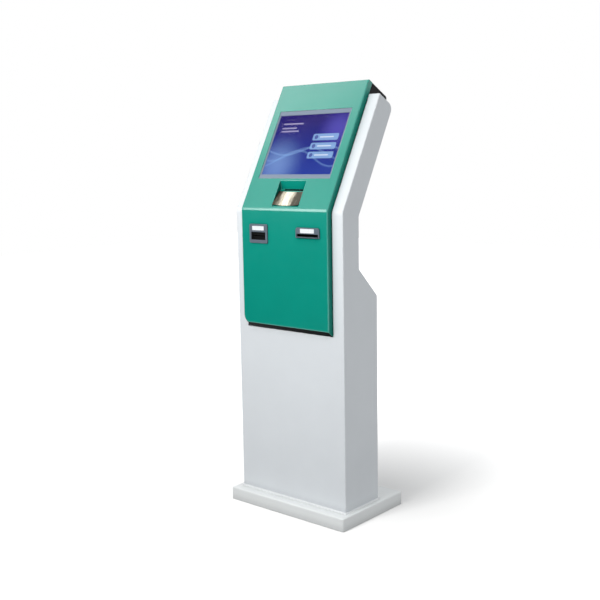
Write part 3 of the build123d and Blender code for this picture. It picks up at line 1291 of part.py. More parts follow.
def computer():
    """Small computer case standing on the cabinet floor, with vents and a recessed port plate."""
    front = FRONT_Y + COMPUTER_STAND_OFF
    back = front + COMPUTER_DEPTH
    plane = Plane(origin=(COMPUTER_X, back, FLOOR_Z), x_dir=(-1, 0, 0), z_dir=(0, 1, 0))
    case = block(around(0, COMPUTER_WIDTH), (0, COMPUTER_HEIGHT), (-COMPUTER_DEPTH, 0))
    case = fillet(case.edges().filter_by(Axis.Z), MODULE_RADIUS)
    port_z = (COMPUTER_PORT_RISE, COMPUTER_PORT_RISE + COMPUTER_PORT_HEIGHT)
    case -= block(around(0, COMPUTER_PORT_WIDTH), port_z, (-COMPUTER_PORT_DEPTH, 0))
    inside = around(0, COMPUTER_WIDTH - 2 * CASE_SHEET)
    inside_z = (CASE_SHEET, COMPUTER_HEIGHT - CASE_SHEET)
    hollow = block(inside, inside_z, (CASE_SHEET - COMPUTER_DEPTH, -CASE_SHEET))
    port_back = (-COMPUTER_PORT_DEPTH - CASE_SHEET, 0)
    margin = COMPUTER_PORT_WIDTH + 2 * CASE_SHEET
    hollow -= block(around(0, margin), (port_z[0] - CASE_SHEET, port_z[1] + CASE_SHEET), port_back)
    vents = slot_row(COMPUTER_VENT_LENGTH, COMPUTER_VENT_WIDTH, COMPUTER_VENT_PITCH, COMPUTER_VENTS, OVERRUN)
    return plane * (case - hollow - Pos(0, COMPUTER_HEIGHT / 2, 0) * vents)


def power_supply():
    """Power supply on the cabinet floor, its terminal block stepped down at the rear."""
    front = FRONT_Y + POWER_STAND_OFF
    back = front + POWER_DEPTH
    x = around(POWER_X, POWER_WIDTH)
    case = block(x, (front, back), (FLOOR_Z, FLOOR_Z + POWER_HEIGHT))
    step = (FLOOR_Z + POWER_TERMINAL_HEIGHT, FLOOR_Z + POWER_HEIGHT)
    case -= block(x, (back - POWER_TERMINAL_DEPTH, back), step)
    return fillet(case.faces().sort_by(Axis.Z)[-1].edges().filter_by(Axis.Y), MODULE_RADIUS)


def mains_inlet():
    """Mains inlet module: flange, socket with three pins and the well of the rocker switch."""
    flange = Pos(-INLET_X, INLET_Z, 0) * rounded_plate(INLET_WIDTH, INLET_HEIGHT, INLET_FLANGE, INLET_RADIUS)
    body_z = around(INLET_Z, INLET_BODY_HEIGHT)
    flange += block(around(-INLET_X, INLET_BODY_WIDTH), body_z, (-INLET_BODY_DEPTH, 0))
    socket_x = -INLET_X + SOCKET_OFFSET
    half_x, half_z = SOCKET_WIDTH / 2, SOCKET_HEIGHT / 2
    points = [
        (-half_x, -half_z),
        (half_x, -half_z),
        (half_x, half_z - SOCKET_CHAMFER),
        (half_x - SOCKET_CHAMFER, half_z),
        (SOCKET_CHAMFER - half_x, half_z),
        (-half_x, half_z - SOCKET_CHAMFER),
    ]
    face_out = INLET_FLANGE
    well = extrude(make_face(Polyline(*points, close=True)), -SOCKET_DEPTH)
    flange -= Pos(socket_x, INLET_Z, face_out) * well
    for i in range(3):
        pin = around(socket_x + (i - 1) * SOCKET_PIN_PITCH, SOCKET_PIN_WIDTH)
        floor = face_out - SOCKET_DEPTH
        flange += block(pin, around(INLET_Z, SOCKET_PIN_HEIGHT), (floor, floor + SOCKET_PIN_LENGTH))
    rocker_x = around(-INLET_X + ROCKER_OFFSET, ROCKER_WIDTH)
    room = 2 * (ROCKER_RADIUS + ROCKER_GAP)
    flange -= block(rocker_x, around(INLET_Z, room), (-ROCKER_RADIUS - ROCKER_GAP, face_out))
    pin_x = (rocker_x[0] - ROCKER_PIN_RADIUS, rocker_x[1] + ROCKER_PIN_RADIUS)
    return REAR * (flange + x_rod(ROCKER_PIN_RADIUS, pin_x, INLET_Z, 0))


def power_rocker():
    """Rocker of the mains switch: two shallow faces on a round keel, tipped to one side."""
    across = around(ROCKER_OFFSET - INLET_X, ROCKER_WIDTH - 2 * ROCKER_GAP)
    half = math.sqrt(ROCKER_RADIUS**2 - ROCKER_PROUD**2)
    keel = math.sqrt(ROCKER_RADIUS**2 - ROCKER_KEEL**2)
    points = [
        (-half, ROCKER_PROUD),
        (0, ROCKER_DIP),
        (half, ROCKER_PROUD),
        (keel, -ROCKER_KEEL),
        (-keel, -ROCKER_KEEL),
    ]
    face = make_face(Polyline(*points, close=True)) - Circle(ROCKER_PIN_RADIUS + RUNNING_CLEARANCE)
    body = extrude(Plane.YZ * face, across[1] - across[0])
    return REAR * (Pos(across[0], INLET_Z, 0) * Rot(-ROCKER_SWING, 0, 0) * body)


# Rear door

def door_height():
    """Span of heights of the rear door's opening."""
    return (DOOR_OPEN_Z, DOOR_OPEN_Z + DOOR_OPEN_HEIGHT)


def door_frame():
    """Folded frame welded round the inside of the rear opening."""
    depth = (-SHEET - JAMB_DEPTH, -SHEET)
    grown = 2 * JAMB_SHEET
    centre = middle(*door_height())
    ring = block(around(0, DOOR_OPEN_WIDTH + grown), around(centre, DOOR_OPEN_HEIGHT + grown), depth)
    return REAR * (ring - block(around(0, DOOR_OPEN_WIDTH), door_height(), depth))


def rear_door():
    """Rear service door: shallow pan with vent slots, fan opening and lock hole."""
    width = DOOR_OPEN_WIDTH - 2 * DOOR_GAP
    height = DOOR_OPEN_HEIGHT - 2 * DOOR_GAP
    centre = middle(*door_height())
    pan = block(around(0, width), around(centre, height), (-DOOR_DEPTH, 0))
    pan = fillet(pan.faces().sort_by(Axis.Z)[-1].edges(), DOOR_EDGE_RADIUS)
    grown = 2 * DOOR_SHEET
    pan -= block(around(0, width - grown), around(centre, height - grown), (-DOOR_DEPTH, -DOOR_SHEET))
    vents = slot_row(DOOR_VENT_LENGTH, DOOR_VENT_WIDTH, DOOR_VENT_PITCH, DOOR_VENT_ROWS, OVERRUN)
    for x in around(0, DOOR_VENT_SPACING):
        pan -= Pos(x, DOOR_OPEN_Z + DOOR_VENT_RISE, 0) * vents
    pan -= z_rod(FAN_BORE_RADIUS, -FAN_X, FAN_Z, around(0, 2 * OVERRUN))
    bore = z_rod(SCREW_RADIUS + HOLE_CLEARANCE, 0, 0, around(0, 2 * OVERRUN))
    pan -= [place * bore for place in fan_screw_places()]
    lock_hole = LOCK_BARREL_RADIUS + HOLE_CLEARANCE
    return REAR * (pan - z_rod(lock_hole, -LOCK_X, LOCK_Z, around(0, 2 * OVERRUN)))


FAN_Z = DOOR_OPEN_Z + DOOR_OPEN_HEIGHT - FAN_DROP
LOCK_X = DOOR_OPEN_WIDTH / 2 - LOCK_INSET
LOCK_Z = DOOR_OPEN_Z + LOCK_RISE
DOOR_AXIS_X = -DOOR_OPEN_WIDTH / 2 + DOOR_GAP / 2


def fan_screw_places():
    """Places of the fan's screws in the rear plane."""
    places = GridLocations(FAN_HOLE_SPACING, FAN_HOLE_SPACING, 2, 2)
    return [Pos(-FAN_X, FAN_Z, 0) * place for place in places]


def door_hinge_heights():
    """Middle heights of the door hinges."""
    low, high = door_height()
    first = low + DOOR_HINGE_MARGIN
    step = (high - DOOR_HINGE_MARGIN - first) / (DOOR_HINGE_COUNT - 1)
    return [first + step * i for i in range(DOOR_HINGE_COUNT)]


def door_hinge_leaf(height, fixed):
    """One leaf of a door hinge with its knuckles, in the rear plane."""
    axis_x = -DOOR_AXIS_X
    axis_out = DOOR_HINGE_RADIUS
    ends = around(height, DOOR_HINGE_LENGTH)
    third = DOOR_HINGE_LENGTH / 3
    gap = KNUCKLE_GAP / 2
    outer = [(ends[0], ends[0] + third - gap), (ends[1] - third + gap, ends[1])]
    inner = [(ends[0] + third + gap, ends[1] - third - gap)]
    spans = outer if fixed else inner
    clear = DOOR_HINGE_RADIUS + KNUCKLE_GAP
    side = 1 if fixed else -1
    near = sorted((axis_x, axis_x + side * DOOR_LEAF_WIDTH))
    far = sorted((axis_x + side * clear, axis_x + side * DOOR_LEAF_WIDTH))
    solid = block(far, ends, (0, DOOR_HINGE_LEAF))
    for span in spans:
        barrel = Pos(axis_x, middle(*span), axis_out) * Rot(90, 0, 0)
        solid += barrel * Cylinder(DOOR_HINGE_RADIUS, span[1] - span[0])
        solid += block(near, span, (0, DOOR_HINGE_LEAF))
    bore = DOOR_HINGE_PIN_RADIUS if fixed else DOOR_HINGE_PIN_RADIUS + RUNNING_CLEARANCE
    pin = Pos(axis_x, height, axis_out) * Rot(90, 0, 0) * Cylinder(bore, DOOR_HINGE_LENGTH + OVERRUN)
    return REAR * (solid - pin)


def door_hinge_leaves(fixed):
    """Fixed or moving leaves of the door hinges."""
    return Compound(children=[door_hinge_leaf(height, fixed) for height in door_hinge_heights()])


def hinge_pins():
    """Pins of the fascia hinges and the door hinges."""
    pins = []
    for x in around(0, HINGE_SPACING):
        pins.append(HEAD * x_rod(HINGE_PIN_RADIUS, around(x, HINGE_LENGTH), HINGE_S, HINGE_OUT))
    y = REAR_Y + DOOR_HINGE_RADIUS
    for height in door_hinge_heights():
        pins.append(z_rod(DOOR_HINGE_PIN_RADIUS, DOOR_AXIS_X, y, around(height, DOOR_HINGE_LENGTH)))
    return Compound(children=pins)


def lock_depths():
    """Out places of the cam's front and back faces."""
    cam_front = -SHEET - JAMB_DEPTH - CAM_GAP
    return cam_front, cam_front - CAM_SHEET


def lock_barrel():
    """Barrel of the door lock with its round face plate."""
    cam_front, _ = lock_depths()
    barrel = z_rod(LOCK_BARREL_RADIUS, 0, 0, (cam_front + SEAT_GAP, 0))
    face = z_rod(LOCK_FACE_RADIUS, 0, 0, (0, LOCK_FACE_DEPTH))
    barrel += fillet(face.edges().sort_by(Axis.Z)[-1], LOCK_FACE_DEPTH / 2)
    barrel -= z_rod(LOCK_PLUG_RADIUS + RUNNING_CLEARANCE, 0, 0, (cam_front, LOCK_FACE_DEPTH))
    return REAR * (Pos(-LOCK_X, LOCK_Z, 0) * barrel)


def lock_cam():
    """Turning plug of the lock with its keyway, and the cam on its end, hanging down while unlocked."""
    cam_front, cam_back = lock_depths()
    plug = z_rod(LOCK_PLUG_RADIUS, 0, 0, (cam_back, LOCK_FACE_DEPTH))
    keyway = (LOCK_FACE_DEPTH - LOCK_KEYWAY_DEPTH, LOCK_FACE_DEPTH)
    plug -= block(around(0, LOCK_KEYWAY_WIDTH), around(0, LOCK_KEYWAY_HEIGHT), keyway)
    slot = Pos(0, (CAM_WIDTH - CAM_LENGTH) / 2, cam_back) * Rot(0, 0, 90) * SlotOverall(CAM_LENGTH, CAM_WIDTH)
    plug += extrude(slot, CAM_SHEET)
    return REAR * (Pos(-LOCK_X, LOCK_Z, 0) * plug)


def fan_frame():
    """Square fan frame with its bore, spokes, hub plate and bearing pin."""
    back = -DOOR_SHEET - FAN_DEPTH
    frame = Pos(0, 0, back) * rounded_plate(FAN_SIZE, FAN_SIZE, FAN_DEPTH, FAN_CORNER_RADIUS)
    frame -= z_rod(FAN_BORE_RADIUS, 0, 0, (back, -DOOR_SHEET))
    plate = (back, back + FAN_SPOKE_DEPTH)
    frame += z_rod(FAN_HUB_RADIUS, 0, 0, plate)
    for i in range(FAN_SPOKES):
        spoke = block(around(0, FAN_SPOKE_WIDTH), (0, middle(FAN_BORE_RADIUS, FAN_SIZE / 2)), plate)
        frame += Rot(0, 0, 360 * i / FAN_SPOKES) * spoke
    frame += z_rod(FAN_PIN_RADIUS, 0, 0, (back, fan_rotor_top() - FAN_HUB_WALL - SEAT_GAP))
    for place in GridLocations(FAN_HOLE_SPACING, FAN_HOLE_SPACING, 2, 2):
        frame -= place * z_rod(SCREW_RADIUS + HOLE_CLEARANCE, 0, 0, (back, -DOOR_SHEET))
    return REAR * (Pos(-FAN_X, FAN_Z, 0) * frame)


def fan_rotor_top():
    """Out place of the rotor's outer face."""
    return -DOOR_SHEET - FAN_DEPTH + FAN_SPOKE_DEPTH + SEAT_GAP + FAN_ROTOR_DEPTH


def fan_blade():
    """One twisted blade, lofted from a steep root to a flatter tip along local X."""
    sections = []
    root = FAN_HUB_RADIUS - FAN_HUB_WALL / 2
    for radius, pitch in ((root, FAN_ROOT_PITCH), (FAN_BLADE_RADIUS, FAN_TIP_PITCH)):
        section = Rot(0, 0, pitch) * Rectangle(FAN_BLADE_CHORD, FAN_BLADE_SHEET)
        sections.append(Pos(radius, 0, 0) * (Plane.YZ * section))
    return loft(sections, ruled=True)


def fan_rotor():
    """Fan rotor: cup-shaped hub on the pin, with twisted blades."""
    top = fan_rotor_top()
    low = top - FAN_ROTOR_DEPTH
    hub = fillet(z_rod(FAN_HUB_RADIUS, 0, 0, (low, top)).edges().sort_by(Axis.Z)[-1], FAN_HUB_WALL / 2)
    blade = Pos(0, 0, middle(low, top)) * fan_blade()
    rotor = hub + [Rot(0, 0, 360 * i / FAN_BLADES) * blade for i in range(FAN_BLADES)]
    rotor -= z_rod(FAN_PIN_RADIUS + RUNNING_CLEARANCE, 0, 0, (low, top - FAN_HUB_WALL))
    return REAR * (Pos(-FAN_X, FAN_Z, 0) * rotor)


def fan_guard():
    """Finger guard on the outside of the door: flat rings on two crossed bars."""
    guard = Sketch() + Circle(GUARD_HUB_RADIUS)
    for i in range(GUARD_RING_COUNT):
        radius = GUARD_RING_PITCH * (i + 1) + GUARD_RING_WIDTH
        guard += Circle(radius) - Circle(radius - GUARD_RING_WIDTH)
    reach = FAN_HOLE_SPACING * math.sqrt(2) + 2 * SCREW_HEAD_RADIUS
    for turn in (45, 135):
        guard += Rot(0, 0, turn) * SlotOverall(reach, 2 * SCREW_HEAD_RADIUS)
    for place in GridLocations(FAN_HOLE_SPACING, FAN_HOLE_SPACING, 2, 2):
        guard -= place * Circle(SCREW_RADIUS + HOLE_CLEARANCE)
    return REAR * (Pos(-FAN_X, FAN_Z, 0) * extrude(guard, GUARD_SHEET))


def fan_screws():
    """Screws through guard and door into the fan frame."""
    seats = [place * Pos(0, 0, GUARD_SHEET) for place in fan_screw_places()]
    return Compound(children=[REAR * (seat * screw(FAN_SCREW_LENGTH)) for seat in seats])


PIECES = {
    "plinth": plinth,
    "foot_bead": foot_bead,
    "cabinet_shell": cabinet_shell,
    "base_bolts": base_bolts,
    "device_shelf": lambda: shelf(DEVICE_SHELF_Z, WEB_SLOT_MARGIN),
    "printer_shelf": lambda: shelf(PRINTER_SHELF_Z, WEB_SLOT_MARGIN / 2),
    "fascia": fascia,
    "ticket_scoop": ticket_scoop,
    "screen_bezel": screen_bezel,
    "touch_glass": touch_glass,
    "display_panel": display_panel,
    "monitor_chassis": monitor_chassis,
    "monitor_rails": monitor_rails,
    "head_cover": head_cover,
    "head_screws": head_screws,
    "hinge_rail": hinge_rail,
    "fascia_hinge_fixed_leaves": lambda: fascia_hinge_leaves(True),
    "fascia_hinge_moving_leaves": lambda: fascia_hinge_leaves(False),
    "hinge_pins": hinge_pins,
    "strut_tubes": strut_tubes,
    "strut_rods": strut_rods,
    "strut_brackets": strut_brackets,
    "strut_lugs": strut_lugs,
    "card_bezel": card_bezel,
    "card_throat": card_throat,
    "label_plates": label_plates,
    "card_reader": card_reader,
    "receipt_bezel": receipt_bezel,
    "receipt_printer": receipt_printer,
    "printer_frame": printer_frame,
    "platen_roller": platen_roller,
    "platen_shaft": platen_shaft,
    "platen_gear": platen_gear,
    "motor_pinion": motor_pinion,
    "feed_motor": feed_motor,
    "print_head": print_head,
    "cutter_bed": cutter_bed,
    "cutter_blade": cutter_blade,
    "cutter_solenoid": cutter_solenoid,
    "ticket_deflector": ticket_deflector,
    "ticket_web": ticket_web,
    "ticket_roll": ticket_roll,
    "roll_core": roll_core,
    "roll_spindle": roll_spindle,
    "roll_bracket": roll_bracket,
    "computer": computer,
    "power_supply": power_supply,
    "mains_inlet": mains_inlet,
    "power_rocker": power_rocker,
    "door_frame": door_frame,
    "rear_door": rear_door,
    "door_hinge_fixed_leaves": lambda: door_hinge_leaves(True),
    "door_hinge_moving_leaves": lambda: door_hinge_leaves(False),
    "lock_barrel": lock_barrel,
    "lock_cam": lock_cam,
    "fan_frame": fan_frame,
    "fan_rotor": fan_rotor,
    "fan_guard": fan_guard,
    "fan_screws": fan_screws,
}


def main():
    """Build every piece and write it to its own file."""
    os.makedirs("parts", exist_ok=True)
    for name, build in PIECES.items():
        export_step(build(), f"parts/{name}.step")


main()
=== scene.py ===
"""Looks of the floor-standing ticket kiosk: finishes, small fasteners, seals, studio and camera."""

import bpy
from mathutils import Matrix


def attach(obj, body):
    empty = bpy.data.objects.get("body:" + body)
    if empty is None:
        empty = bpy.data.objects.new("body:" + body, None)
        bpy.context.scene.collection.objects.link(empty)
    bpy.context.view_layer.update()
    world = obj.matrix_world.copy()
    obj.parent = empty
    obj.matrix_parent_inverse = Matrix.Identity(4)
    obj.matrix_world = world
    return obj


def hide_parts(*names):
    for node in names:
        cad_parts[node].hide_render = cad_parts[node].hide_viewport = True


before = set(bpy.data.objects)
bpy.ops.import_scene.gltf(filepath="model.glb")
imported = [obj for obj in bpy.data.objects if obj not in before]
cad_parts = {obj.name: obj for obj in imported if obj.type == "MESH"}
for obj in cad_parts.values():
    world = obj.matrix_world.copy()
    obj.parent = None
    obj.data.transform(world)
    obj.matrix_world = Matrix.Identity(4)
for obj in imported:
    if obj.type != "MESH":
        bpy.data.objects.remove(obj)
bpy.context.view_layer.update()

import logging
import math
from dataclasses import dataclass, field
from enum import Enum
from typing import Any, ClassVar, NamedTuple, Protocol, Sequence

import bpy
import numpy as np
from mathutils import Matrix, Vector

LOG = logging.getLogger("kiosk")
Rgb = tuple[int, int, int]
Colour = tuple[float, float, float, float]
Point = tuple[float, float, float]
Faces = list[tuple[int, ...]]
Socket = bpy.types.NodeSocket
Value = float | Socket
WHITE: Colour = (1.0, 1.0, 1.0, 1.0)
# The band that most values of a noise fall in.
NOISE_BAND = (0.3, 0.7)


class Body(Enum):
    """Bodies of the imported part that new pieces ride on."""

    CABINET = "cabinet"
    FASCIA = "fascia"
    DOOR = "rear_door"


class LampUse(Enum):
    """What a lamp acts on: whether it lights matt surfaces, and whether gloss mirrors it."""

    MATT = (True, False)
    GLOSS = (False, True)


class Axis(Enum):
    """Directions that a brushed or drawn finish can run in."""

    ACROSS = (0.02, 1.0, 1.0)
    NONE = (1.0, 1.0, 1.0)


def linear(colour: Rgb) -> Colour:
    """Turn an 8-bit screen colour into the linear colour that shaders take, by the sRGB curve.

    Args:
        colour: red, green and blue from 0 to 255.

    Returns:
        Linear red, green, blue and an alpha of 1.
    """
    share = np.asarray(colour, float) / 255.0
    value = np.where(share <= 0.04045, share / 12.92, ((share + 0.055) / 1.055) ** 2.4)
    return (float(value[0]), float(value[1]), float(value[2]), 1.0)


def shaded(colour: Rgb, factor: float) -> Colour:
    """Scale a colour in linear light.

    Args:
        colour: red, green and blue from 0 to 255.
        factor: what each linear channel is multiplied by.

    Returns:
        Linear colour, held below 1.
    """
    red, green, blue, _ = linear(colour)
    return (min(red * factor, 1.0), min(green * factor, 1.0), min(blue * factor, 1.0), 1.0)


class Graph:
    """The node tree of a material or of the world, filled by short calls."""

    def __init__(self, owner: bpy.types.Material | bpy.types.World) -> None:
        """Start an empty tree with an output node.

        Args:
            owner: material or world that the tree belongs to.
        """
        owner.use_nodes = True
        self.owner = owner
        self.tree = owner.node_tree
        self.tree.nodes.clear()
        kind = "World" if isinstance(owner, bpy.types.World) else "Material"
        self.output = self.tree.nodes.new("ShaderNodeOutput" + kind)

    def add(self, kind: str, settings: dict[str, Any] | None = None, **inputs: Any) -> bpy.types.Node:
        """Add a node and feed its inputs.

        Args:
            kind: node type without its "ShaderNode" prefix.
            settings: properties of the node itself.
            inputs: values or sockets by input name; an underscore stands for a space, and i0, i1 for
                positions.

        Returns:
            The new node.
        """
        node = self.tree.nodes.new("ShaderNode" + kind)
        for key, value in (settings or {}).items():
            setattr(node, key, value)
        for key, value in inputs.items():
            positional = key[0] == "i" and key[1:].isdigit()
            socket = node.inputs[int(key[1:])] if positional else node.inputs[key.replace("_", " ")]
            if isinstance(value, bpy.types.NodeSocket):
                self.tree.links.new(value, socket)
            else:
                socket.default_value = value
        return node

    def math(self, operation: str, *values: Value) -> Socket:
        """Add a math node on one to three values and return its result."""
        inputs = {f"i{place}": value for place, value in enumerate(values)}
        return self.add("Math", {"operation": operation}, **inputs).outputs[0]

    def blend(self, factor: Value, low: Any, high: Any, kind: str = "MIX") -> Socket:
        """Mix two colours by a factor and return the result."""
        settings = {"data_type": "RGBA", "blend_type": kind}
        return self.add("Mix", settings, i0=factor, i6=low, i7=high).outputs[2]

    def ramp(
        self, value: Value, low: float, high: float, start: float, end: float, smooth: bool = False
    ) -> Socket:
        """Carry a value from one range to another, held at both ends.

        Args:
            value: what is carried over.
            low: value that gives the start.
            high: value that gives the end.
            start: result at low and beyond it.
            end: result at high and beyond it.
            smooth: whether the way between the two eases in and out.

        Returns:
            The result.
        """
        kind = "SMOOTHSTEP" if smooth else "LINEAR"
        settings = {"clamp": True, "interpolation_type": kind}
        return self.add("MapRange", settings, i0=value, i1=low, i2=high, i3=start, i4=end).outputs[0]

    def noise(self, place: Socket, scale: float, detail: float, roughness: float = 0.5) -> Socket:
        """Add a noise and return its value."""
        return self.add("TexNoise", Vector=place, Scale=scale, Detail=detail, Roughness=roughness).outputs[0]

    def bump(self, height: Socket, strength: float, depth: float, **facing: Socket) -> Socket:
        """Add a bump and return the bumped normal."""
        return self.add("Bump", Strength=strength, Distance=depth, Height=height, **facing).outputs[0]

    def length(self, across: Socket, up: Socket) -> Socket:
        """Return the length of a flat vector, the root of the sum of its sides' squares."""
        squares = [self.math("MULTIPLY", side, side) for side in (across, up)]
        return self.math("SQRT", self.math("ADD", *squares))

    def object_coordinates(self) -> Socket:
        """Return the coordinates of the piece itself, in metres."""
        return self.add("TexCoord").outputs["Object"]

    def seen(self) -> Socket:
        """Tell rays that see a surface from rays that only light others.

        Returns:
            1 for rays from the camera, from gloss and through glass, and 0 for the rest.
        """
        path = self.add("LightPath").outputs
        mirrored = self.math("MAXIMUM", path["Is Glossy Ray"], path["Is Transmission Ray"])
        return self.math("MAXIMUM", path["Is Camera Ray"], mirrored)

    def surface(self, shader: bpy.types.Node) -> Any:
        """Join a shader to the output and return the finished material or world."""
        self.tree.links.new(shader.outputs[0], self.output.inputs["Surface"])
        return self.owner


class Dressing(Protocol):
    """Any finish: it has a name and makes a material."""

    @property
    def name(self) -> str:
        """Return the material's name."""

    def material(self) -> bpy.types.Material:
        """Build the node material."""


@dataclass(frozen=True)
class Finish:
    """A paint, metal or moulding with its mottle, grain, edge wear and highlight, and painted shade.

    The colour swings gently with a broad noise, the roughness with a finer one, and the grain is a bump
    from a noise that may be drawn out in one direction. Edge wear and highlight rounds the edges and
    lightens them where the rounded normal and the true normal part; on the pale and teal paints this is a
    painted highlight. Shade is painted shade: the colour darkens in corners and recesses by how closed in a
    point is, and a finish with a dull value loses its shine where the painted shade is that strong.
    """

    name: str
    colour: Rgb
    roughness: float = 0.4
    metallic: float = 0.0
    mottle: float = 0.05
    mottle_scale: float = 7.0
    spread: float = 0.06
    grain_scale: float = 900.0
    grain_depth: float = 0.00004
    grain_strength: float = 0.25
    grain_axis: Axis = Axis.NONE
    coat: float = 0.0
    coat_roughness: float = 0.1
    specular: float = 0.5
    edge_wear_and_highlight: float = 0.0
    edge_wear_and_highlight_colour: Rgb = (235, 238, 240)
    edge: float = 0.0012
    shade: float = 0.0
    shade_reach: float = 0.03
    dull: float = 0.0

    # Detail and roughness of the noises.
    MOTTLE_NOISE: ClassVar[tuple[float, float]] = (4.0, 0.55)
    GLOSS_NOISE: ClassVar[tuple[float, float]] = (5.0, 0.6)
    GRAIN_NOISE: ClassVar[tuple[float, float]] = (3.0, 0.6)
    # How much finer the gloss varies than the colour, and the smoothest gloss.
    GLOSS_FINER: ClassVar[float] = 6.0
    SMOOTHEST: ClassVar[float] = 0.02
    # Cosines of the turn between the normals at which the edge wear and highlight starts and is full.
    EDGE_TURN: ClassVar[tuple[float, float]] = (0.995, 0.85)
    # Scale and detail of the patches in the edge wear and highlight, their band, and the share left between
    # them.
    PATCH_NOISE: ClassVar[tuple[float, float]] = (60.0, 4.0)
    PATCH_BAND: ClassVar[tuple[float, float]] = (0.35, 0.65)
    PATCH_LEAST: ClassVar[float] = 0.3
    # How open a point's surroundings are where the painted shade is full and where it ends, the shade's tone
    # and the shine left under it.
    PAINTED_SHADE_BAND: ClassVar[tuple[float, float]] = (0.65, 0.95)
    PAINTED_SHADE_TONE: ClassVar[float] = 0.1
    PAINTED_SHADE_SHINE: ClassVar[float] = 0.1
    BEVEL_SAMPLES: ClassVar[int] = 4
    PAINTED_SHADE_SAMPLES: ClassVar[int] = 6

    def material(self) -> bpy.types.Material:
        """Build the node material.

        Returns:
            A material on Object coordinates.
        """
        graph = Graph(bpy.data.materials.new(self.name))
        place = graph.object_coordinates()
        drawn = graph.add("Mapping", Vector=place, Scale=self.grain_axis.value).outputs[0]
        grain = graph.noise(drawn, self.grain_scale, *self.GRAIN_NOISE)
        colour = self.mottled(graph, place, grain)
        facing: dict[str, Socket] = {}
        shine: Value = self.specular
        # Lighter rounded edges, which are painted highlights on the pale and teal paints.
        if self.edge_wear_and_highlight > 0.0:
            rounded = graph.add("Bevel", {"samples": self.BEVEL_SAMPLES}, Radius=self.edge).outputs[0]
            colour = graph.blend(self.edge_wear_and_highlight_mask(graph, place, rounded), colour, linear(self.edge_wear_and_highlight_colour))
            facing["Normal"] = rounded
        # Painted shade: darker colour and less shine where a point is closed in, in corners and recesses.
        if self.shade > 0.0:
            settings = {"samples": self.PAINTED_SHADE_SAMPLES}
            open_share = graph.add("AmbientOcclusion", settings, Distance=self.shade_reach).outputs["AO"]
            painted_shade = graph.ramp(open_share, *self.PAINTED_SHADE_BAND, self.shade, 0.0)
            colour = graph.blend(painted_shade, colour, shaded(self.colour, self.PAINTED_SHADE_TONE))
            if self.dull > 0.0:
                shine = graph.ramp(painted_shade, 0.0, self.dull, self.specular, self.PAINTED_SHADE_SHINE * self.specular)
        fine = graph.noise(place, self.mottle_scale * self.GLOSS_FINER, *self.GLOSS_NOISE)
        low, high = max(self.roughness - self.spread, self.SMOOTHEST), min(self.roughness + self.spread, 1.0)
        shader = graph.add(
            "BsdfPrincipled", Base_Color=colour, Roughness=graph.ramp(fine, *NOISE_BAND, low, high),
            Metallic=self.metallic, Normal=graph.bump(grain, self.grain_strength, self.grain_depth, **facing),
            Coat_Weight=self.coat, Coat_Roughness=self.coat_roughness, Specular_IOR_Level=shine,
        )
        # The socket's own value counts where the link of the shine, cut under the painted shade, is dropped.
        shader.inputs["Specular IOR Level"].default_value = self.specular
        return graph.surface(shader)

    def mottled(self, graph: Graph, place: Socket, grain: Socket) -> Socket:
        """Swing the colour with a broad noise, and with the grain too where it is drawn out.

        Args:
            graph: tree of the material.
            place: Object coordinates.
            grain: value of the grain.

        Returns:
            The colour.
        """
        broad = graph.noise(place, self.mottle_scale, *self.MOTTLE_NOISE)
        swing = graph.ramp(broad, *NOISE_BAND, 0.0, 1.0)
        dark, light = shaded(self.colour, 1.0 - self.mottle), shaded(self.colour, 1.0 + self.mottle)
        colour = graph.blend(swing, dark, light)
        if self.grain_axis is Axis.NONE:
            return colour
        streak = graph.ramp(grain, *NOISE_BAND, 1.0 - 2.0 * self.mottle, 1.0 + self.mottle)
        tint = graph.add("CombineColor", i0=streak, i1=streak, i2=streak).outputs[0]
        return graph.blend(1.0, colour, tint, "MULTIPLY")

    def edge_wear_and_highlight_mask(self, graph: Graph, place: Socket, rounded: Socket) -> Socket:
        """Work out the edge wear and highlight at each point: high on edges, broken up by noise.

        Args:
            graph: tree of the material.
            place: Object coordinates.
            rounded: normal of the rounded edges.

        Returns:
            Share of edge wear and highlight from 0 to 1.
        """
        true = graph.add("NewGeometry").outputs["Normal"]
        turn = graph.add("VectorMath", {"operation": "DOT_PRODUCT"}, i0=rounded, i1=true)
        bent = graph.ramp(turn.outputs["Value"], *self.EDGE_TURN, 0.0, 1.0)
        patchy = graph.noise(place, *self.PATCH_NOISE)
        broken = graph.ramp(patchy, *self.PATCH_BAND, self.PATCH_LEAST, 1.0)
        return graph.math("MULTIPLY", graph.math("MULTIPLY", bent, broken), self.edge_wear_and_highlight)


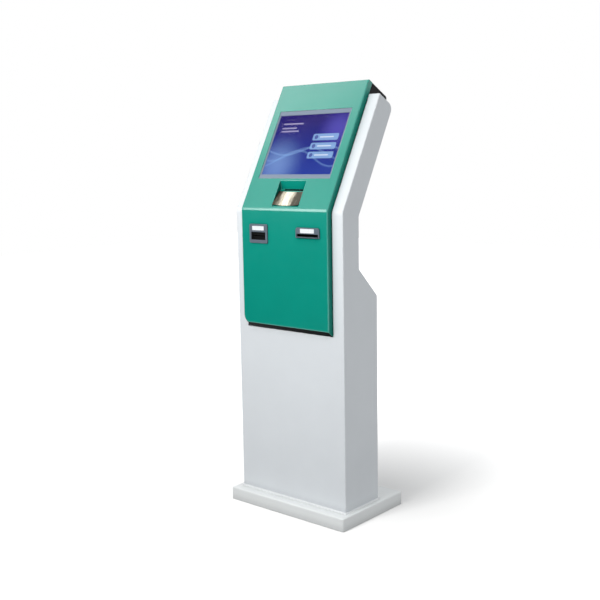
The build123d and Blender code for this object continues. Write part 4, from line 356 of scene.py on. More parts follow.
@dataclass(frozen=True)
class PaintedReflectionSteel:
    """Stainless sheet with a painted reflection: bright along the ticket track, dull and darker beside it."""

    name: str
    middle: float
    reach: float
    dull: Rgb = (64, 60, 50)
    bright: Rgb = (178, 172, 156)
    dull_roughness: float = 0.34
    bright_roughness: float = 0.14
    drawn: Point = (1.0, 0.25, 0.25)
    streak_scale: float = 150.0
    streak_swing: float = 0.3
    painted_highlight_start: float = 0.1
    grain_scale: float = 1600.0
    grain_strength: float = 0.2
    grain_depth: float = 0.00004

    def material(self) -> bpy.types.Material:
        """Build the metal.

        The painted highlight's share falls smoothly from 1 on the track's middle to 0 at its reach, and is
        broken up by a noise drawn out along the track.

        Returns:
            A material on Object coordinates.
        """
        graph = Graph(bpy.data.materials.new(self.name))
        place = graph.object_coordinates()
        across = graph.add("SeparateXYZ", Vector=place).outputs[0]
        away = graph.math("ABSOLUTE", graph.math("SUBTRACT", across, self.middle))
        painted_highlight = graph.ramp(away, 0.0, self.reach, 1.0, 0.0, smooth=True)
        drawn = graph.add("Mapping", Vector=place, Scale=self.drawn).outputs[0]
        streak = graph.noise(drawn, self.streak_scale, detail=4.0, roughness=0.6)
        broken = graph.ramp(streak, *NOISE_BAND, -self.streak_swing, self.streak_swing)
        share = graph.ramp(graph.math("ADD", painted_highlight, broken), self.painted_highlight_start, 1.0, 0.0, 1.0)
        grain = graph.noise(drawn, self.grain_scale, detail=3.0)
        shader = graph.add(
            "BsdfPrincipled", Base_Color=graph.blend(share, linear(self.dull), linear(self.bright)),
            Roughness=graph.ramp(share, 0.0, 1.0, self.dull_roughness, self.bright_roughness),
            Metallic=1.0, Normal=graph.bump(grain, self.grain_strength, self.grain_depth),
        )
        return graph.surface(shader)


@dataclass(frozen=True)
class ClearGlass:
    """Touch glass: clear, hard and faintly smeared."""

    name: str = "touch_glass_clear"
    roughness: float = 0.02
    smeared_roughness: float = 0.06
    smear_scale: float = 14.0
    smear_band: tuple[float, float] = (0.45, 0.7)
    ior: float = 1.06

    def material(self) -> bpy.types.Material:
        """Build the glass, its roughness lifted a little in broad smears.

        Returns:
            A material on Object coordinates.
        """
        graph = Graph(bpy.data.materials.new(self.name))
        smear = graph.noise(graph.object_coordinates(), self.smear_scale, detail=5.0)
        gloss = graph.ramp(smear, *self.smear_band, self.roughness, self.smeared_roughness)
        shader = graph.add(
            "BsdfPrincipled", Base_Color=WHITE, Roughness=gloss, Transmission_Weight=1.0, IOR=self.ior
        )
        return graph.surface(shader)


@dataclass(frozen=True)
class RollPaper:
    """Wound paper: fine rings on the roll's ends, from the distance to its axis."""

    name: str
    axis_y: float
    axis_z: float
    colour: Rgb = (240, 238, 230)
    groove_tone: float = 0.8
    roughness: float = 0.85
    pitch: float = 0.0012
    half_layer: float = 0.5
    wobble_scale: float = 40.0
    groove_strength: float = 0.4
    groove_depth: float = 0.0002

    def material(self) -> bpy.types.Material:
        """Build the paper, darker in the grooves between its layers.

        Returns:
            A material on Object coordinates.
        """
        graph = Graph(bpy.data.materials.new(self.name))
        place = graph.object_coordinates()
        part = graph.add("SeparateXYZ", Vector=place).outputs
        across = graph.math("SUBTRACT", part[1], self.axis_y)
        up = graph.math("SUBTRACT", part[2], self.axis_z)
        layers = graph.math("DIVIDE", graph.length(across, up), self.pitch)
        wobble = graph.noise(place, self.wobble_scale, detail=3.0)
        ring = graph.math("PINGPONG", graph.math("ADD", layers, wobble), self.half_layer)
        open_share = graph.ramp(ring, 0.0, self.half_layer, 0.0, 1.0)
        shader = graph.add(
            "BsdfPrincipled", Roughness=self.roughness,
            Base_Color=graph.blend(open_share, shaded(self.colour, self.groove_tone), linear(self.colour)),
            Normal=graph.bump(ring, self.groove_strength, self.groove_depth),
        )
        return graph.surface(shader)


class Canvas(NamedTuple):
    """The lit picture's plane: its node tree, and the places across and up it in metres."""

    graph: Graph
    x: Socket
    y: Socket

    def offset(self, x: float, y: float) -> tuple[Socket, Socket]:
        """Return how far each place lies from a point, across and up."""
        return self.graph.math("SUBTRACT", self.x, x), self.graph.math("SUBTRACT", self.y, y)


@dataclass(frozen=True)
class Glow:
    """A soft round light on the picture: its middle, reach, colour and peak."""

    x: float
    y: float
    reach: float
    colour: Rgb
    peak: float = 0.75

    def share(self, canvas: Canvas) -> Socket:
        """Return the glow's share: its peak in the middle, smoothly down to 0 at its reach."""
        away = canvas.graph.length(*canvas.offset(self.x, self.y))
        return canvas.graph.ramp(away, 0.0, self.reach, self.peak, 0.0, smooth=True)


@dataclass(frozen=True)
class Wave:
    """A thin sine line on the picture: its level, swing, phase and weight, and how far it fades."""

    level: float
    swing: float
    phase: float
    weight: float
    colour: Rgb = (150, 196, 244)
    rate: float = 20.0
    core: float = 0.0004
    reach: float = 0.006

    def share(self, canvas: Canvas) -> Socket:
        """Work out the line on y = level + swing times sin(rate x + phase), down to 0 beside it.

        Args:
            canvas: plane of the picture.

        Returns:
            Share of the line's colour.
        """
        graph = canvas.graph
        angle = graph.math("ADD", graph.math("MULTIPLY", canvas.x, self.rate), self.phase)
        rise = graph.math("MULTIPLY", graph.math("SINE", angle), self.swing)
        away = graph.math("SUBTRACT", canvas.y, graph.math("ADD", rise, self.level))
        return graph.ramp(graph.math("ABSOLUTE", away), self.core, self.reach, self.weight, 0.0, smooth=True)


@dataclass(frozen=True)
class Tile:
    """A rounded tile on the picture: its middle, half sizes, corner radius, weight and colour."""

    x: float
    y: float
    half_x: float
    half_y: float
    radius: float
    weight: float
    colour: Rgb
    blur: float = 0.0004

    def share(self, canvas: Canvas) -> Socket:
        """Work out the tile: its weight inside, 0 outside, from the distance to its rounded outline.

        Args:
            canvas: plane of the picture.

        Returns:
            Share of the tile's colour.
        """
        graph = canvas.graph
        sides = []
        for away, half in zip(canvas.offset(self.x, self.y), (self.half_x, self.half_y)):
            past = graph.math("SUBTRACT", graph.math("ABSOLUTE", away), half - self.radius)
            sides.append(graph.math("MAXIMUM", past, 0.0))
        inside = graph.ramp(graph.length(*sides), self.radius - self.blur, self.radius + self.blur, 1.0, 0.0)
        return graph.math("MULTIPLY", inside, self.weight)


def picture_shapes() -> tuple[Glow | Wave | Tile, ...]:
    """List what the picture shows: glows, waves, three menu rows at the right and bars at the upper left.

    Returns:
        The shapes from the lowest layer to the highest.
    """
    shapes: list[Glow | Wave | Tile] = [
        Glow(-0.10, -0.075, 0.13, (124, 158, 216)), Glow(0.12, 0.06, 0.10, (92, 84, 190)),
        Wave(-0.02, 0.018, 0.0, 0.30), Wave(-0.035, 0.024, 1.1, 0.22), Wave(-0.052, 0.03, 2.0, 0.26),
    ]
    first_row, row_pitch = 0.028, 0.034
    for row in range(3):
        y = first_row - row_pitch * row
        shapes += [
            Tile(0.078, y, 0.055, 0.0125, 0.006, 0.75, (150, 190, 236)),
            Tile(0.038, y, 0.0075, 0.0075, 0.0074, 0.8, (60, 62, 150)),
            Tile(0.083, y, 0.030, 0.0022, 0.0021, 0.7, (238, 244, 252)),
        ]
    bars = ((-0.085, 0.083, 0.046), (-0.0975, 0.066, 0.0335), (-0.091, 0.054, 0.040))
    shapes += [Tile(x, y, half, 0.0026, 0.0025, 0.55, (214, 206, 240)) for x, y, half in bars]
    return tuple(shapes)


@dataclass(frozen=True)
class LitPicture:
    """The display's lit picture: a violet to blue field with glow, waves and plain tiles.

    Positions are metres from the picture's middle, found by turning Object coordinates into the head's
    plane.
    """

    name: str
    turn: float
    shift: Point
    height: float
    low_colour: Rgb = (40, 62, 158)
    high_colour: Rgb = (40, 26, 108)
    shapes: tuple[Glow | Wave | Tile, ...] = picture_shapes()
    strength: float = 1.0
    dark: Colour = (0.004, 0.004, 0.006, 1.0)
    roughness: float = 0.6

    def material(self) -> bpy.types.Material:
        """Build the emissive picture, laid over a dark screen.

        Returns:
            A material on Object coordinates.
        """
        graph = Graph(bpy.data.materials.new(self.name))
        place = graph.object_coordinates()
        local = graph.add("Mapping", Vector=place, Location=self.shift, Rotation=(self.turn, 0.0, 0.0))
        part = graph.add("SeparateXYZ", Vector=local.outputs[0]).outputs
        canvas = Canvas(graph, part[0], part[1])
        rise = graph.ramp(canvas.y, -self.height / 2, self.height / 2, 0.0, 1.0)
        colour = graph.blend(rise, linear(self.low_colour), linear(self.high_colour))
        for shape in self.shapes:
            colour = graph.blend(shape.share(canvas), colour, linear(shape.colour))
        shader = graph.add(
            "BsdfPrincipled", Base_Color=self.dark, Roughness=self.roughness, Specular_IOR_Level=0.0,
            Emission_Color=colour, Emission_Strength=self.strength,
        )
        return graph.surface(shader)


class PaintShop:
    """Makes each material once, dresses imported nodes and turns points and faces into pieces."""

    def __init__(self) -> None:
        """Start with no materials."""
        self.materials: dict[str, bpy.types.Material] = {}

    def coat(self, mesh: bpy.types.Mesh, finish: Dressing) -> None:
        """Give a mesh a finish, built once for each name.

        Args:
            mesh: mesh that gets the finish as its only material.
            finish: the finish.
        """
        if finish.name not in self.materials:
            self.materials[finish.name] = finish.material()
        mesh.materials.clear()
        mesh.materials.append(self.materials[finish.name])

    def paint(self, node: str, finish: Dressing) -> None:
        """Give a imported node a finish."""
        self.coat(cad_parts[node].data, finish)
        LOG.info("dressed %s in %s", node, finish.name)

    def piece(self, name: str, points: np.ndarray, faces: Faces, finish: Dressing) -> bpy.types.Object:
        """Make an object at the origin from points and faces, shaded smooth.

        Args:
            name: name of the piece.
            points: array of shape (n, 3) in metres.
            faces: corner indices of each face.
            finish: the piece's finish.

        Returns:
            The new object, linked to the scene.
        """
        mesh = bpy.data.meshes.new(name)
        mesh.from_pydata(points.tolist(), [], faces)
        mesh.polygons.foreach_set("use_smooth", np.ones(len(mesh.polygons), bool))
        self.coat(mesh, finish)
        mesh.validate()
        piece = bpy.data.objects.new(name, mesh)
        bpy.context.scene.collection.objects.link(piece)
        LOG.info("built %s with %d faces", name, len(mesh.polygons))
        return piece


def domed_faces(rings: int, turns: int, offset: int) -> Faces:
    """List the faces of a closed cap of revolution.

    Point order is the top pole, then each ring, then the bottom pole; fans close the poles.

    Args:
        rings: number of rings between the poles.
        turns: number of points on a ring.
        offset: index of the top pole.

    Returns:
        Corner indices of each face, outward by the right-hand rule.
    """
    step = np.arange(turns)
    following = (step + 1) % turns
    first, last = offset + 1, offset + 1 + (rings - 1) * turns
    top = np.stack([np.full(turns, offset), first + step, first + following], 1)
    low = np.stack([np.full(turns, offset + 1 + rings * turns), last + following, last + step], 1)
    start = first + np.arange(rings - 1)[:, None] * turns
    quads = np.stack([start + step, start + turns + step, start + turns + following, start + following], -1)
    return [tuple(map(int, face)) for block in (top, quads.reshape(-1, 4), low) for face in block]


def strip_faces(rows: int, columns: int) -> Faces:
    """List the faces of a closed section carried along a path, with both ends closed.

    Args:
        rows: number of places on the path.
        columns: number of points round the section.

    Returns:
        Corner indices of each face.
    """
    row, column = np.meshgrid(np.arange(rows - 1), np.arange(columns), indexing="ij")
    here, beside = row * columns + column, row * columns + (column + 1) % columns
    quads = np.stack([here, beside, beside + columns, here + columns], -1).reshape(-1, 4)
    ends = [tuple(range(columns))[::-1], tuple(range((rows - 1) * columns, rows * columns))]
    return [tuple(map(int, quad)) for quad in quads] + ends


@dataclass
class ScrewHeads:
    """Pan heads with a cross recess, one mesh for a group of screws.

    The reach, width and slope of the recess are shares of the head's radius.
    """

    radius: float = 0.004
    height: float = 0.0024
    rim_drop: float = 0.75
    recess_reach: float = 0.62
    recess_width: float = 0.17
    recess_slope: float = 0.06
    recess_depth: float = 0.0012
    turns: int = 32
    ring_shares: tuple[float, ...] = (0.1, 0.2, 0.3, 0.42, 0.55, 0.68, 0.82, 0.93, 1.0)

    def local(self) -> np.ndarray:
        """Work out one head: a dome of height H times the root of 1 - D r^4, sunk where a cross lies.

        Here r is the share of the radius and D the rim's drop.

        Returns:
            Array of points: top pole, rings, foot ring and bottom pole.
        """
        angle = np.linspace(0.0, 2.0 * math.pi, self.turns, endpoint=False)
        radius, turn = np.meshgrid(np.array(self.ring_shares), angle, indexing="ij")
        x, y = radius * np.cos(turn), radius * np.sin(turn)
        dome = np.sqrt(np.clip(1.0 - self.rim_drop * radius**4, 0.0, 1.0)) * self.height
        sunk = np.maximum(self.arm(x, y), self.arm(y, x)) * self.recess_depth
        rings = np.stack([x * self.radius, y * self.radius, dome - sunk], -1)
        foot = rings[-1:] * np.array([1.0, 1.0, 0.0])
        pole = np.array([[0.0, 0.0, self.height - self.recess_depth]])
        return np.concatenate([pole, rings.reshape(-1, 3), foot.reshape(-1, 3), np.zeros((1, 3))])

    def arm(self, along: np.ndarray, across: np.ndarray) -> np.ndarray:
        """Return how deep each point lies in one arm of the cross, from 0 to 1."""
        wall = np.clip((self.recess_width - np.abs(across)) / self.recess_slope, 0.0, 1.0)
        return wall * (np.abs(along) < self.recess_reach)

    def build(
        self, shop: PaintShop, name: str, seats: np.ndarray, axis: Point, finish: Dressing
    ) -> bpy.types.Object:
        """Set a head on every seat, all facing one way.

        Args:
            shop: maker of the piece.
            name: name of the piece.
            seats: places of the heads' undersides.
            axis: direction that the heads face, square to X.
            finish: finish of the screws.

        Returns:
            One object with all the heads.
        """
        out = np.asarray(axis, float) / np.linalg.norm(axis)
        side = np.cross(out, (1.0, 0.0, 0.0))
        side /= np.linalg.norm(side)
        turned = self.local() @ np.stack([side, np.cross(out, side), out])
        points = (seats[:, None, :] + turned[None]).reshape(-1, 3)
        rings = (len(turned) - 2) // self.turns
        starts = range(0, len(points), len(turned))
        faces = [face for start in starts for face in domed_faces(rings, self.turns, start)]
        return shop.piece(name, points, faces, finish)


@dataclass
class Lead:
    """Insulated wire: a round section carried along a cubic curve."""

    radius: float = 0.0022
    turns: int = 14
    steps: int = 40

    def build(
        self, shop: PaintShop, name: str, knots: Sequence[Point], flat: Point, finish: Dressing
    ) -> bpy.types.Object:
        """Carry a circle along the cubic curve of four knots.

        The centre line is c(u) = (1-u)^3 a + 3 (1-u)^2 u b + 3 (1-u) u^2 c + u^3 d, and the surface is
        c(u) + r (cos v n(u) + sin v m), where m is the direction square to the curve's plane.

        Args:
            shop: maker of the piece.
            name: name of the piece.
            knots: start, two pulls and end.
            flat: direction square to the plane that the curve lies in.
            finish: finish of the insulation.

        Returns:
            The wire as one closed tube.
        """
        share = np.linspace(0.0, 1.0, self.steps)[:, None]
        start, first, second, end = np.asarray(knots, float)
        rest = 1.0 - share
        line = rest**3 * start + 3 * rest**2 * share * first + 3 * rest * share**2 * second + share**3 * end
        along = np.gradient(line, axis=0)
        along /= np.linalg.norm(along, axis=1, keepdims=True)
        square = np.asarray(flat, float) / np.linalg.norm(flat)
        beside = np.cross(square, along)
        beside /= np.linalg.norm(beside, axis=1, keepdims=True)
        angle = np.linspace(0.0, 2.0 * math.pi, self.turns, endpoint=False)[None, :, None]
        ring = np.cos(angle) * beside[:, None] + np.sin(angle) * square
        points = (line[:, None] + self.radius * ring).reshape(-1, 3)
        return shop.piece(name, points, strip_faces(self.steps, self.turns), finish)


@dataclass
class HeadPlane:
    """The leaning head's own directions: across, up the lean and out towards the user."""

    front_y: float = -0.129
    crease_z: float = 1.053
    tilt: float = math.radians(28.4)

    def points(self, across: np.ndarray, up: np.ndarray, out: np.ndarray) -> np.ndarray:
        """Carry head places into the shared frame.

        Args:
            across: distance to the right of the middle.
            up: distance up the lean from the crease.
            out: distance in front of the wings.

        Returns:
            Array of points with a last axis of 3.
        """
        across, up, out = np.broadcast_arrays(across, up, out)
        y = self.front_y + up * math.sin(self.tilt) - out * math.cos(self.tilt)
        z = self.crease_z + up * math.cos(self.tilt) + out * math.sin(self.tilt)
        return np.stack([across, y, z], -1)

    def backward(self) -> Point:
        """Return the direction into the head's face, towards its rear."""
        return (0.0, math.cos(self.tilt), -math.sin(self.tilt))

    def picture_turn(self) -> float:
        """Return the turn about X that lays the head's face flat."""
        return self.tilt - math.pi / 2

    def picture_shift(self, middle: float) -> Point:
        """Work out the shift, after that turn, that puts a place on the lean at zero.

        Args:
            middle: distance of the place up the lean from the crease.

        Returns:
            The shift.
        """
        y = self.front_y * math.sin(self.tilt) + self.crease_z * math.cos(self.tilt)
        z = -self.front_y * math.cos(self.tilt) + self.crease_z * math.sin(self.tilt)
        return (0.0, -y - middle, -z)


HEAD = HeadPlane()

# Its lighter edges are painted highlights, and its darkening in corners and at feet is painted shade.
POWDER_WHITE = Finish(
    "powder_coat_pale_grey", (229, 233, 236), 0.38, mottle=0.015, spread=0.05, grain_scale=700.0,
    grain_strength=0.15, specular=0.35, edge_wear_and_highlight=0.8, edge_wear_and_highlight_colour=(252, 253, 254), edge=0.004, shade=0.2,
)
# A lighter copy of the cabinet's paint, painted lighter for the brighter light on the plinth; its lighter
# edges are painted highlights and its darkening in corners is painted shade.
PLINTH_LIT_WHITE = Finish(
    "powder_coat_white", (247, 249, 248), 0.38, mottle=0.015, spread=0.05, grain_scale=700.0,
    grain_strength=0.15, specular=0.35, edge_wear_and_highlight=0.9, edge_wear_and_highlight_colour=(254, 254, 254), edge=0.004, shade=0.2,
)
# Its lighter edges are painted highlights; its darkening and lost shine in the recess, corners and side
# returns are painted shade.
POWDER_TEAL = Finish(
    "powder_coat_teal", (8, 147, 129), 0.2, mottle=0.03, spread=0.02, grain_scale=700.0, grain_strength=0.12,
    specular=0.8, edge_wear_and_highlight=1.0, edge_wear_and_highlight_colour=(150, 228, 216), edge=0.0026, shade=0.5, dull=0.15,
)
POWDER_BLACK = Finish(
    "powder_coat_black", (14, 14, 16), 0.5, mottle=0.12, grain_scale=600.0, grain_strength=0.3,
    specular=0.12, edge_wear_and_highlight=0.3, edge_wear_and_highlight_colour=(80, 82, 86),
)
CHASSIS_BLACK = Finish("painted_sheet_black", (30, 30, 32), 0.55, mottle=0.12, grain_scale=500.0)
FRAME_GREY = Finish(
    "screen_frame_grey", (128, 141, 158), 0.5, specular=0.2, mottle=0.03, grain_scale=1500.0,
    grain_strength=0.2, edge_wear_and_highlight=0.3, edge_wear_and_highlight_colour=(205, 206, 214), edge=0.0008,
)
DEVICE_GREY = Finish(
    "moulded_slate_grey", (86, 97, 109), 0.45, grain_scale=2200.0, grain_strength=0.35, edge_wear_and_highlight=0.35,
    edge_wear_and_highlight_colour=(150, 160, 170), edge=0.0006,
)
THROAT_BLACK = Finish(
    "moulded_matt_black", (9, 10, 11), 0.6, specular=0.1, mottle=0.12, grain_scale=2200.0,
    grain_strength=0.35,
)
LABEL_WHITE = Finish(
    "label_plate_white", (236, 239, 241), 0.3, mottle=0.02, grain_scale=1200.0, grain_strength=0.1
)
BEAD_WHITE = Finish(
    "sealing_bead_white", (240, 242, 243), 0.35, mottle=0.03, grain_scale=300.0, grain_strength=0.3
)
# The scoop's bright band and darker sides are a painted reflection.
SCOOP_STEEL = PaintedReflectionSteel("scoop_stainless", middle=-0.006, reach=0.044)
ZINC_SHEET = Finish(
    "zinc_plated_sheet", (176, 180, 184), 0.38, 0.9, mottle=0.1, mottle_scale=25.0, grain_axis=Axis.ACROSS
)
ZINC_HARDWARE = Finish(
    "zinc_plated_hardware", (150, 153, 157), 0.3, 1.0, mottle=0.08, mottle_scale=60.0, grain_scale=2000.0
)
GROUND_STEEL = Finish("ground_steel", (198, 200, 203), 0.2, 1.0, grain_scale=2600.0, grain_axis=Axis.ACROSS)
GLOSS_BLACK = Finish("gloss_black_lacquer", (16, 16, 17), 0.18, mottle=0.1, coat=0.5)
ANODISED = Finish("anodised_alloy", (182, 185, 188), 0.35, 0.9, grain_scale=1800.0)
NATURAL_ACETAL = Finish(
    "natural_acetal", (232, 228, 214), 0.4, mottle=0.04, grain_scale=1200.0, grain_strength=0.1
)
GROUND_RUBBER = Finish(
    "ground_rubber", (24, 24, 25), 0.8, mottle=0.15, grain_scale=1500.0, grain_strength=0.5
)
# Black rubber of the seals and the supply lead; on the fascia's foot the same black is painted shade.
BLACK_RUBBER_AND_SHADE = Finish("black_rubber_and_shade", (16, 18, 18), 0.7, specular=0.1, mottle=0.15, grain_strength=0.4)
WEB_PAPER = Finish(
    "thermal_paper", (243, 241, 234), 0.8, mottle=0.02, grain_scale=1800.0, grain_strength=0.2
)
CORE_BOARD = Finish("core_board", (172, 146, 110), 0.85, mottle=0.12, mottle_scale=80.0)
INSULATION = tuple(
    Finish(f"insulation_{name}", colour, 0.5, mottle=0.04)
    for name, colour in (("brown", (92, 58, 36)), ("green", (96, 150, 60)), ("blue", (40, 84, 160)))
)
CHROME = Finish(
    "chrome_plate", (168, 170, 174), 0.14, 1.0, mottle=0.03, grain_scale=2500.0, grain_strength=0.05
)


@dataclass
class Assembly:
    """A sub-assembly: the shop that makes its pieces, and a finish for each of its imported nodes."""

    shop: PaintShop

    def finishes(self) -> dict[str, Dressing]:
        """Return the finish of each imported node."""
        return {}

    def dress(self) -> None:
        """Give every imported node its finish."""
        for node, finish in self.finishes().items():
            self.shop.paint(node, finish)


@dataclass
class Cabinet(Assembly):
    """Plinth, column, neck and wings, with the shelves and rails inside and the seal behind the fascia."""

    opening_half: float = 0.1925
    seal_width: float = 0.0055
    seal_depth: float = 0.0032
    seal_round: float = 0.45
    seal_set_back: float = 0.0003
    seal_foot_z: float = 0.650
    seal_top: float = 0.425
    seal_steps: int = 9
    crease_radius: float = 0.04

    def finishes(self) -> dict[str, Dressing]:
        """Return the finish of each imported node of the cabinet."""
        return {
            "plinth": PLINTH_LIT_WHITE, "cabinet_shell": POWDER_WHITE, "foot_bead": BEAD_WHITE,
            "base_bolts": ZINC_HARDWARE, "device_shelf": ZINC_SHEET, "printer_shelf": ZINC_SHEET,
            "monitor_rails": ZINC_SHEET, "hinge_rail": ZINC_SHEET, "strut_brackets": ZINC_SHEET,
            "door_frame": ZINC_SHEET, "roll_bracket": ZINC_SHEET, "fascia_hinge_fixed_leaves": ZINC_HARDWARE,
            "hinge_pins": ZINC_HARDWARE, "door_hinge_fixed_leaves": ZINC_HARDWARE,
        }

    def seal_path(self) -> tuple[np.ndarray, np.ndarray]:
        """Work out the seal's line on the wings' edge: upright, an arc round the crease, then up the lean.

        Returns:
            Points (y, z) of the line and unit vectors (y, z) out of the face at each.
        """
        tangent = self.crease_radius * math.tan(HEAD.tilt / 2)
        angle = np.linspace(0.0, HEAD.tilt, self.seal_steps)
        out = np.stack([-np.cos(angle), np.sin(angle)], -1)
        centre = np.array([HEAD.front_y + self.crease_radius, HEAD.crease_z - tangent])
        arc = centre + self.crease_radius * out
        foot = np.array([[HEAD.front_y, self.seal_foot_z]])
        top = HEAD.points(np.array([0.0]), np.array([self.seal_top]), np.array([0.0]))[:, 1:]
        return np.concatenate([foot, arc, top]), np.concatenate([out[:1], out, out[-1:]])

    def build_seal(self, side: int) -> bpy.types.Object:
        """Carry a round-topped strip along the edge of one wing.

        The section is (across, depth) with a half-ellipse towards the fascia: depth = D R (1 - sin a) over
        half the width times cos a, then two square corners at the depth D, where R is the round share.

        Args:
            side: 1 for the right wing, -1 for the left.

        Returns:
            The seal as one closed strip.
        """
        line, out = self.seal_path()
        angle = np.linspace(0.0, math.pi, self.seal_steps)
        across = np.concatenate([np.cos(angle), [-1.0, 1.0]]) * self.seal_width / 2
        share = np.concatenate([self.seal_round * (1.0 - np.sin(angle)), [1.0, 1.0]])
        depth = share * self.seal_depth + self.seal_set_back
        x = side * (self.opening_half - self.seal_width / 2 + across)
        y = line[:, :1] - out[:, :1] * depth
        z = line[:, 1:] - out[:, 1:] * depth
        points = np.stack([np.broadcast_to(x, y.shape), y, z], -1).reshape(-1, 3)
        faces = strip_faces(len(line), len(across))
        if side > 0:
            faces = [face[::-1] for face in faces]
        name = "fascia_seal_right" if side > 0 else "fascia_seal_left"
        piece = self.shop.piece(name, points, faces, BLACK_RUBBER_AND_SHADE)
        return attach(piece, Body.CABINET.value)


@dataclass
class Fascia(Assembly):
    """Teal fascia with its screen frame, scoop, card bezel, receipt bezel and bare plates."""

    half: float = 0.191
    proud: float = 0.022
    foot_z: float = 0.645
    base_z: float = 0.663
    corner: float = 0.022
    # The dark strip on the bevelled foot is painted shade, a dark sheet where the bevel lies in shade.
    shade_strip_low: float = 0.0008
    shade_strip_high: float = 0.0262
    shade_strip_height: float = 0.0009
    shade_strip_shoulder: float = 0.6
    shade_strip_end: float = 0.0025
    shade_strip_sweep: float = math.radians(85.0)
    shade_strip_steps: int = 12

    def finishes(self) -> dict[str, Dressing]:
        """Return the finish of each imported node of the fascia."""
        return {
            "fascia": POWDER_TEAL, "screen_bezel": FRAME_GREY, "ticket_scoop": SCOOP_STEEL,
            "card_bezel": DEVICE_GREY, "receipt_bezel": DEVICE_GREY, "card_throat": THROAT_BLACK,
            "label_plates": LABEL_WHITE, "fascia_hinge_moving_leaves": ZINC_HARDWARE,
            "strut_lugs": ZINC_HARDWARE,
        }

    def build_foot_shade_strip(self) -> bpy.types.Object:
        """Lay a flat dark strip on the fascia's bevelled foot, round its left corner, as painted shade.

        The path runs straight along X, then on an arc of the corner's radius, and the section is a low
        rectangle with bevelled shoulders: point = path + v up the bevel + h out of it.

        Returns:
            The strip as one closed piece.
        """
        drop = self.base_z - self.foot_z
        slope = math.hypot(drop, self.proud)
        up = np.array([0.0, -self.proud, drop]) / slope
        out = np.array([0.0, -drop, -self.proud]) / slope
        low = np.array([0.0, HEAD.front_y, self.foot_z])
        left = np.array([-1.0, 0.0, 0.0])
        turn = np.linspace(0.0, self.shade_strip_sweep, self.shade_strip_steps)[:, None]
        facing = np.cos(turn) * out + np.sin(turn) * left
        arc = low - out * self.corner + left * (self.half - self.corner) + self.corner * facing
        right_end = low - left * (self.half - self.shade_strip_end)
        line = np.concatenate([right_end[None], arc])
        normal = np.concatenate([out[None], facing])
        inset = self.shade_strip_height / 2
        up_bevel = np.array([0.0, 0.0, inset, -inset, 0.0, 0.0])
        up_bevel += np.array([self.shade_strip_low] * 3 + [self.shade_strip_high] * 3)
        rise = np.array([0.0, self.shade_strip_shoulder, 1.0])
        above = np.concatenate([rise, rise[::-1]]) * self.shade_strip_height
        points = line[:, None] + up_bevel[:, None] * up + above[:, None] * normal[:, None]
        faces = strip_faces(len(line), len(above))
        # The strip is black as painted shade.
        piece = self.shop.piece("fascia_foot_shade_strip", points.reshape(-1, 3), faces, BLACK_RUBBER_AND_SHADE)
        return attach(piece, Body.FASCIA.value)


@dataclass
class Screen(Assembly):
    """Touch glass, lit display and chassis behind the fascia's window."""

    middle: float = 0.2405
    height: float = 0.228

    def finishes(self) -> dict[str, Dressing]:
        """Choose the finish of the glass, the lit picture and the chassis.

        Returns:
            Finishes by node.
        """
        shift = HEAD.picture_shift(self.middle)
        picture = LitPicture("display_picture", HEAD.picture_turn(), shift, self.height)
        return {"touch_glass": ClearGlass(), "display_panel": picture, "monitor_chassis": CHASSIS_BLACK}


@dataclass
class HeadCover(Assembly):
    """Black cover behind the head and the screws of the head."""

    cover_half: float = 0.198
    cover_up: tuple[float, ...] = (0.06191, 0.16861, 0.2753, 0.382)
    cover_out: float = -0.08553
    rail_half: float = 0.05
    rail_up: tuple[float, ...] = (0.1555, 0.3255)
    rail_out: float = -0.0359

    def finishes(self) -> dict[str, Dressing]:
        """Return the finish of the cover."""
        return {"head_cover": POWDER_BLACK}

    def build_screws(self) -> bpy.types.Object:
        """Set cross-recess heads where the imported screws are, facing back.

        Returns:
            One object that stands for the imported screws.
        """
        rows = []
        for half, places, out in (
            (self.cover_half, self.cover_up, self.cover_out), (self.rail_half, self.rail_up, self.rail_out)
        ):
            across, up = np.meshgrid(np.array([-half, half]), np.array(places))
            rows.append(HEAD.points(across.ravel(), up.ravel(), np.array(out)))
        seats = np.concatenate(rows)
        piece = ScrewHeads().build(self.shop, "head_screw_heads", seats, HEAD.backward(), ZINC_HARDWARE)
        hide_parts("head_screws")
        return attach(piece, Body.CABINET.value)


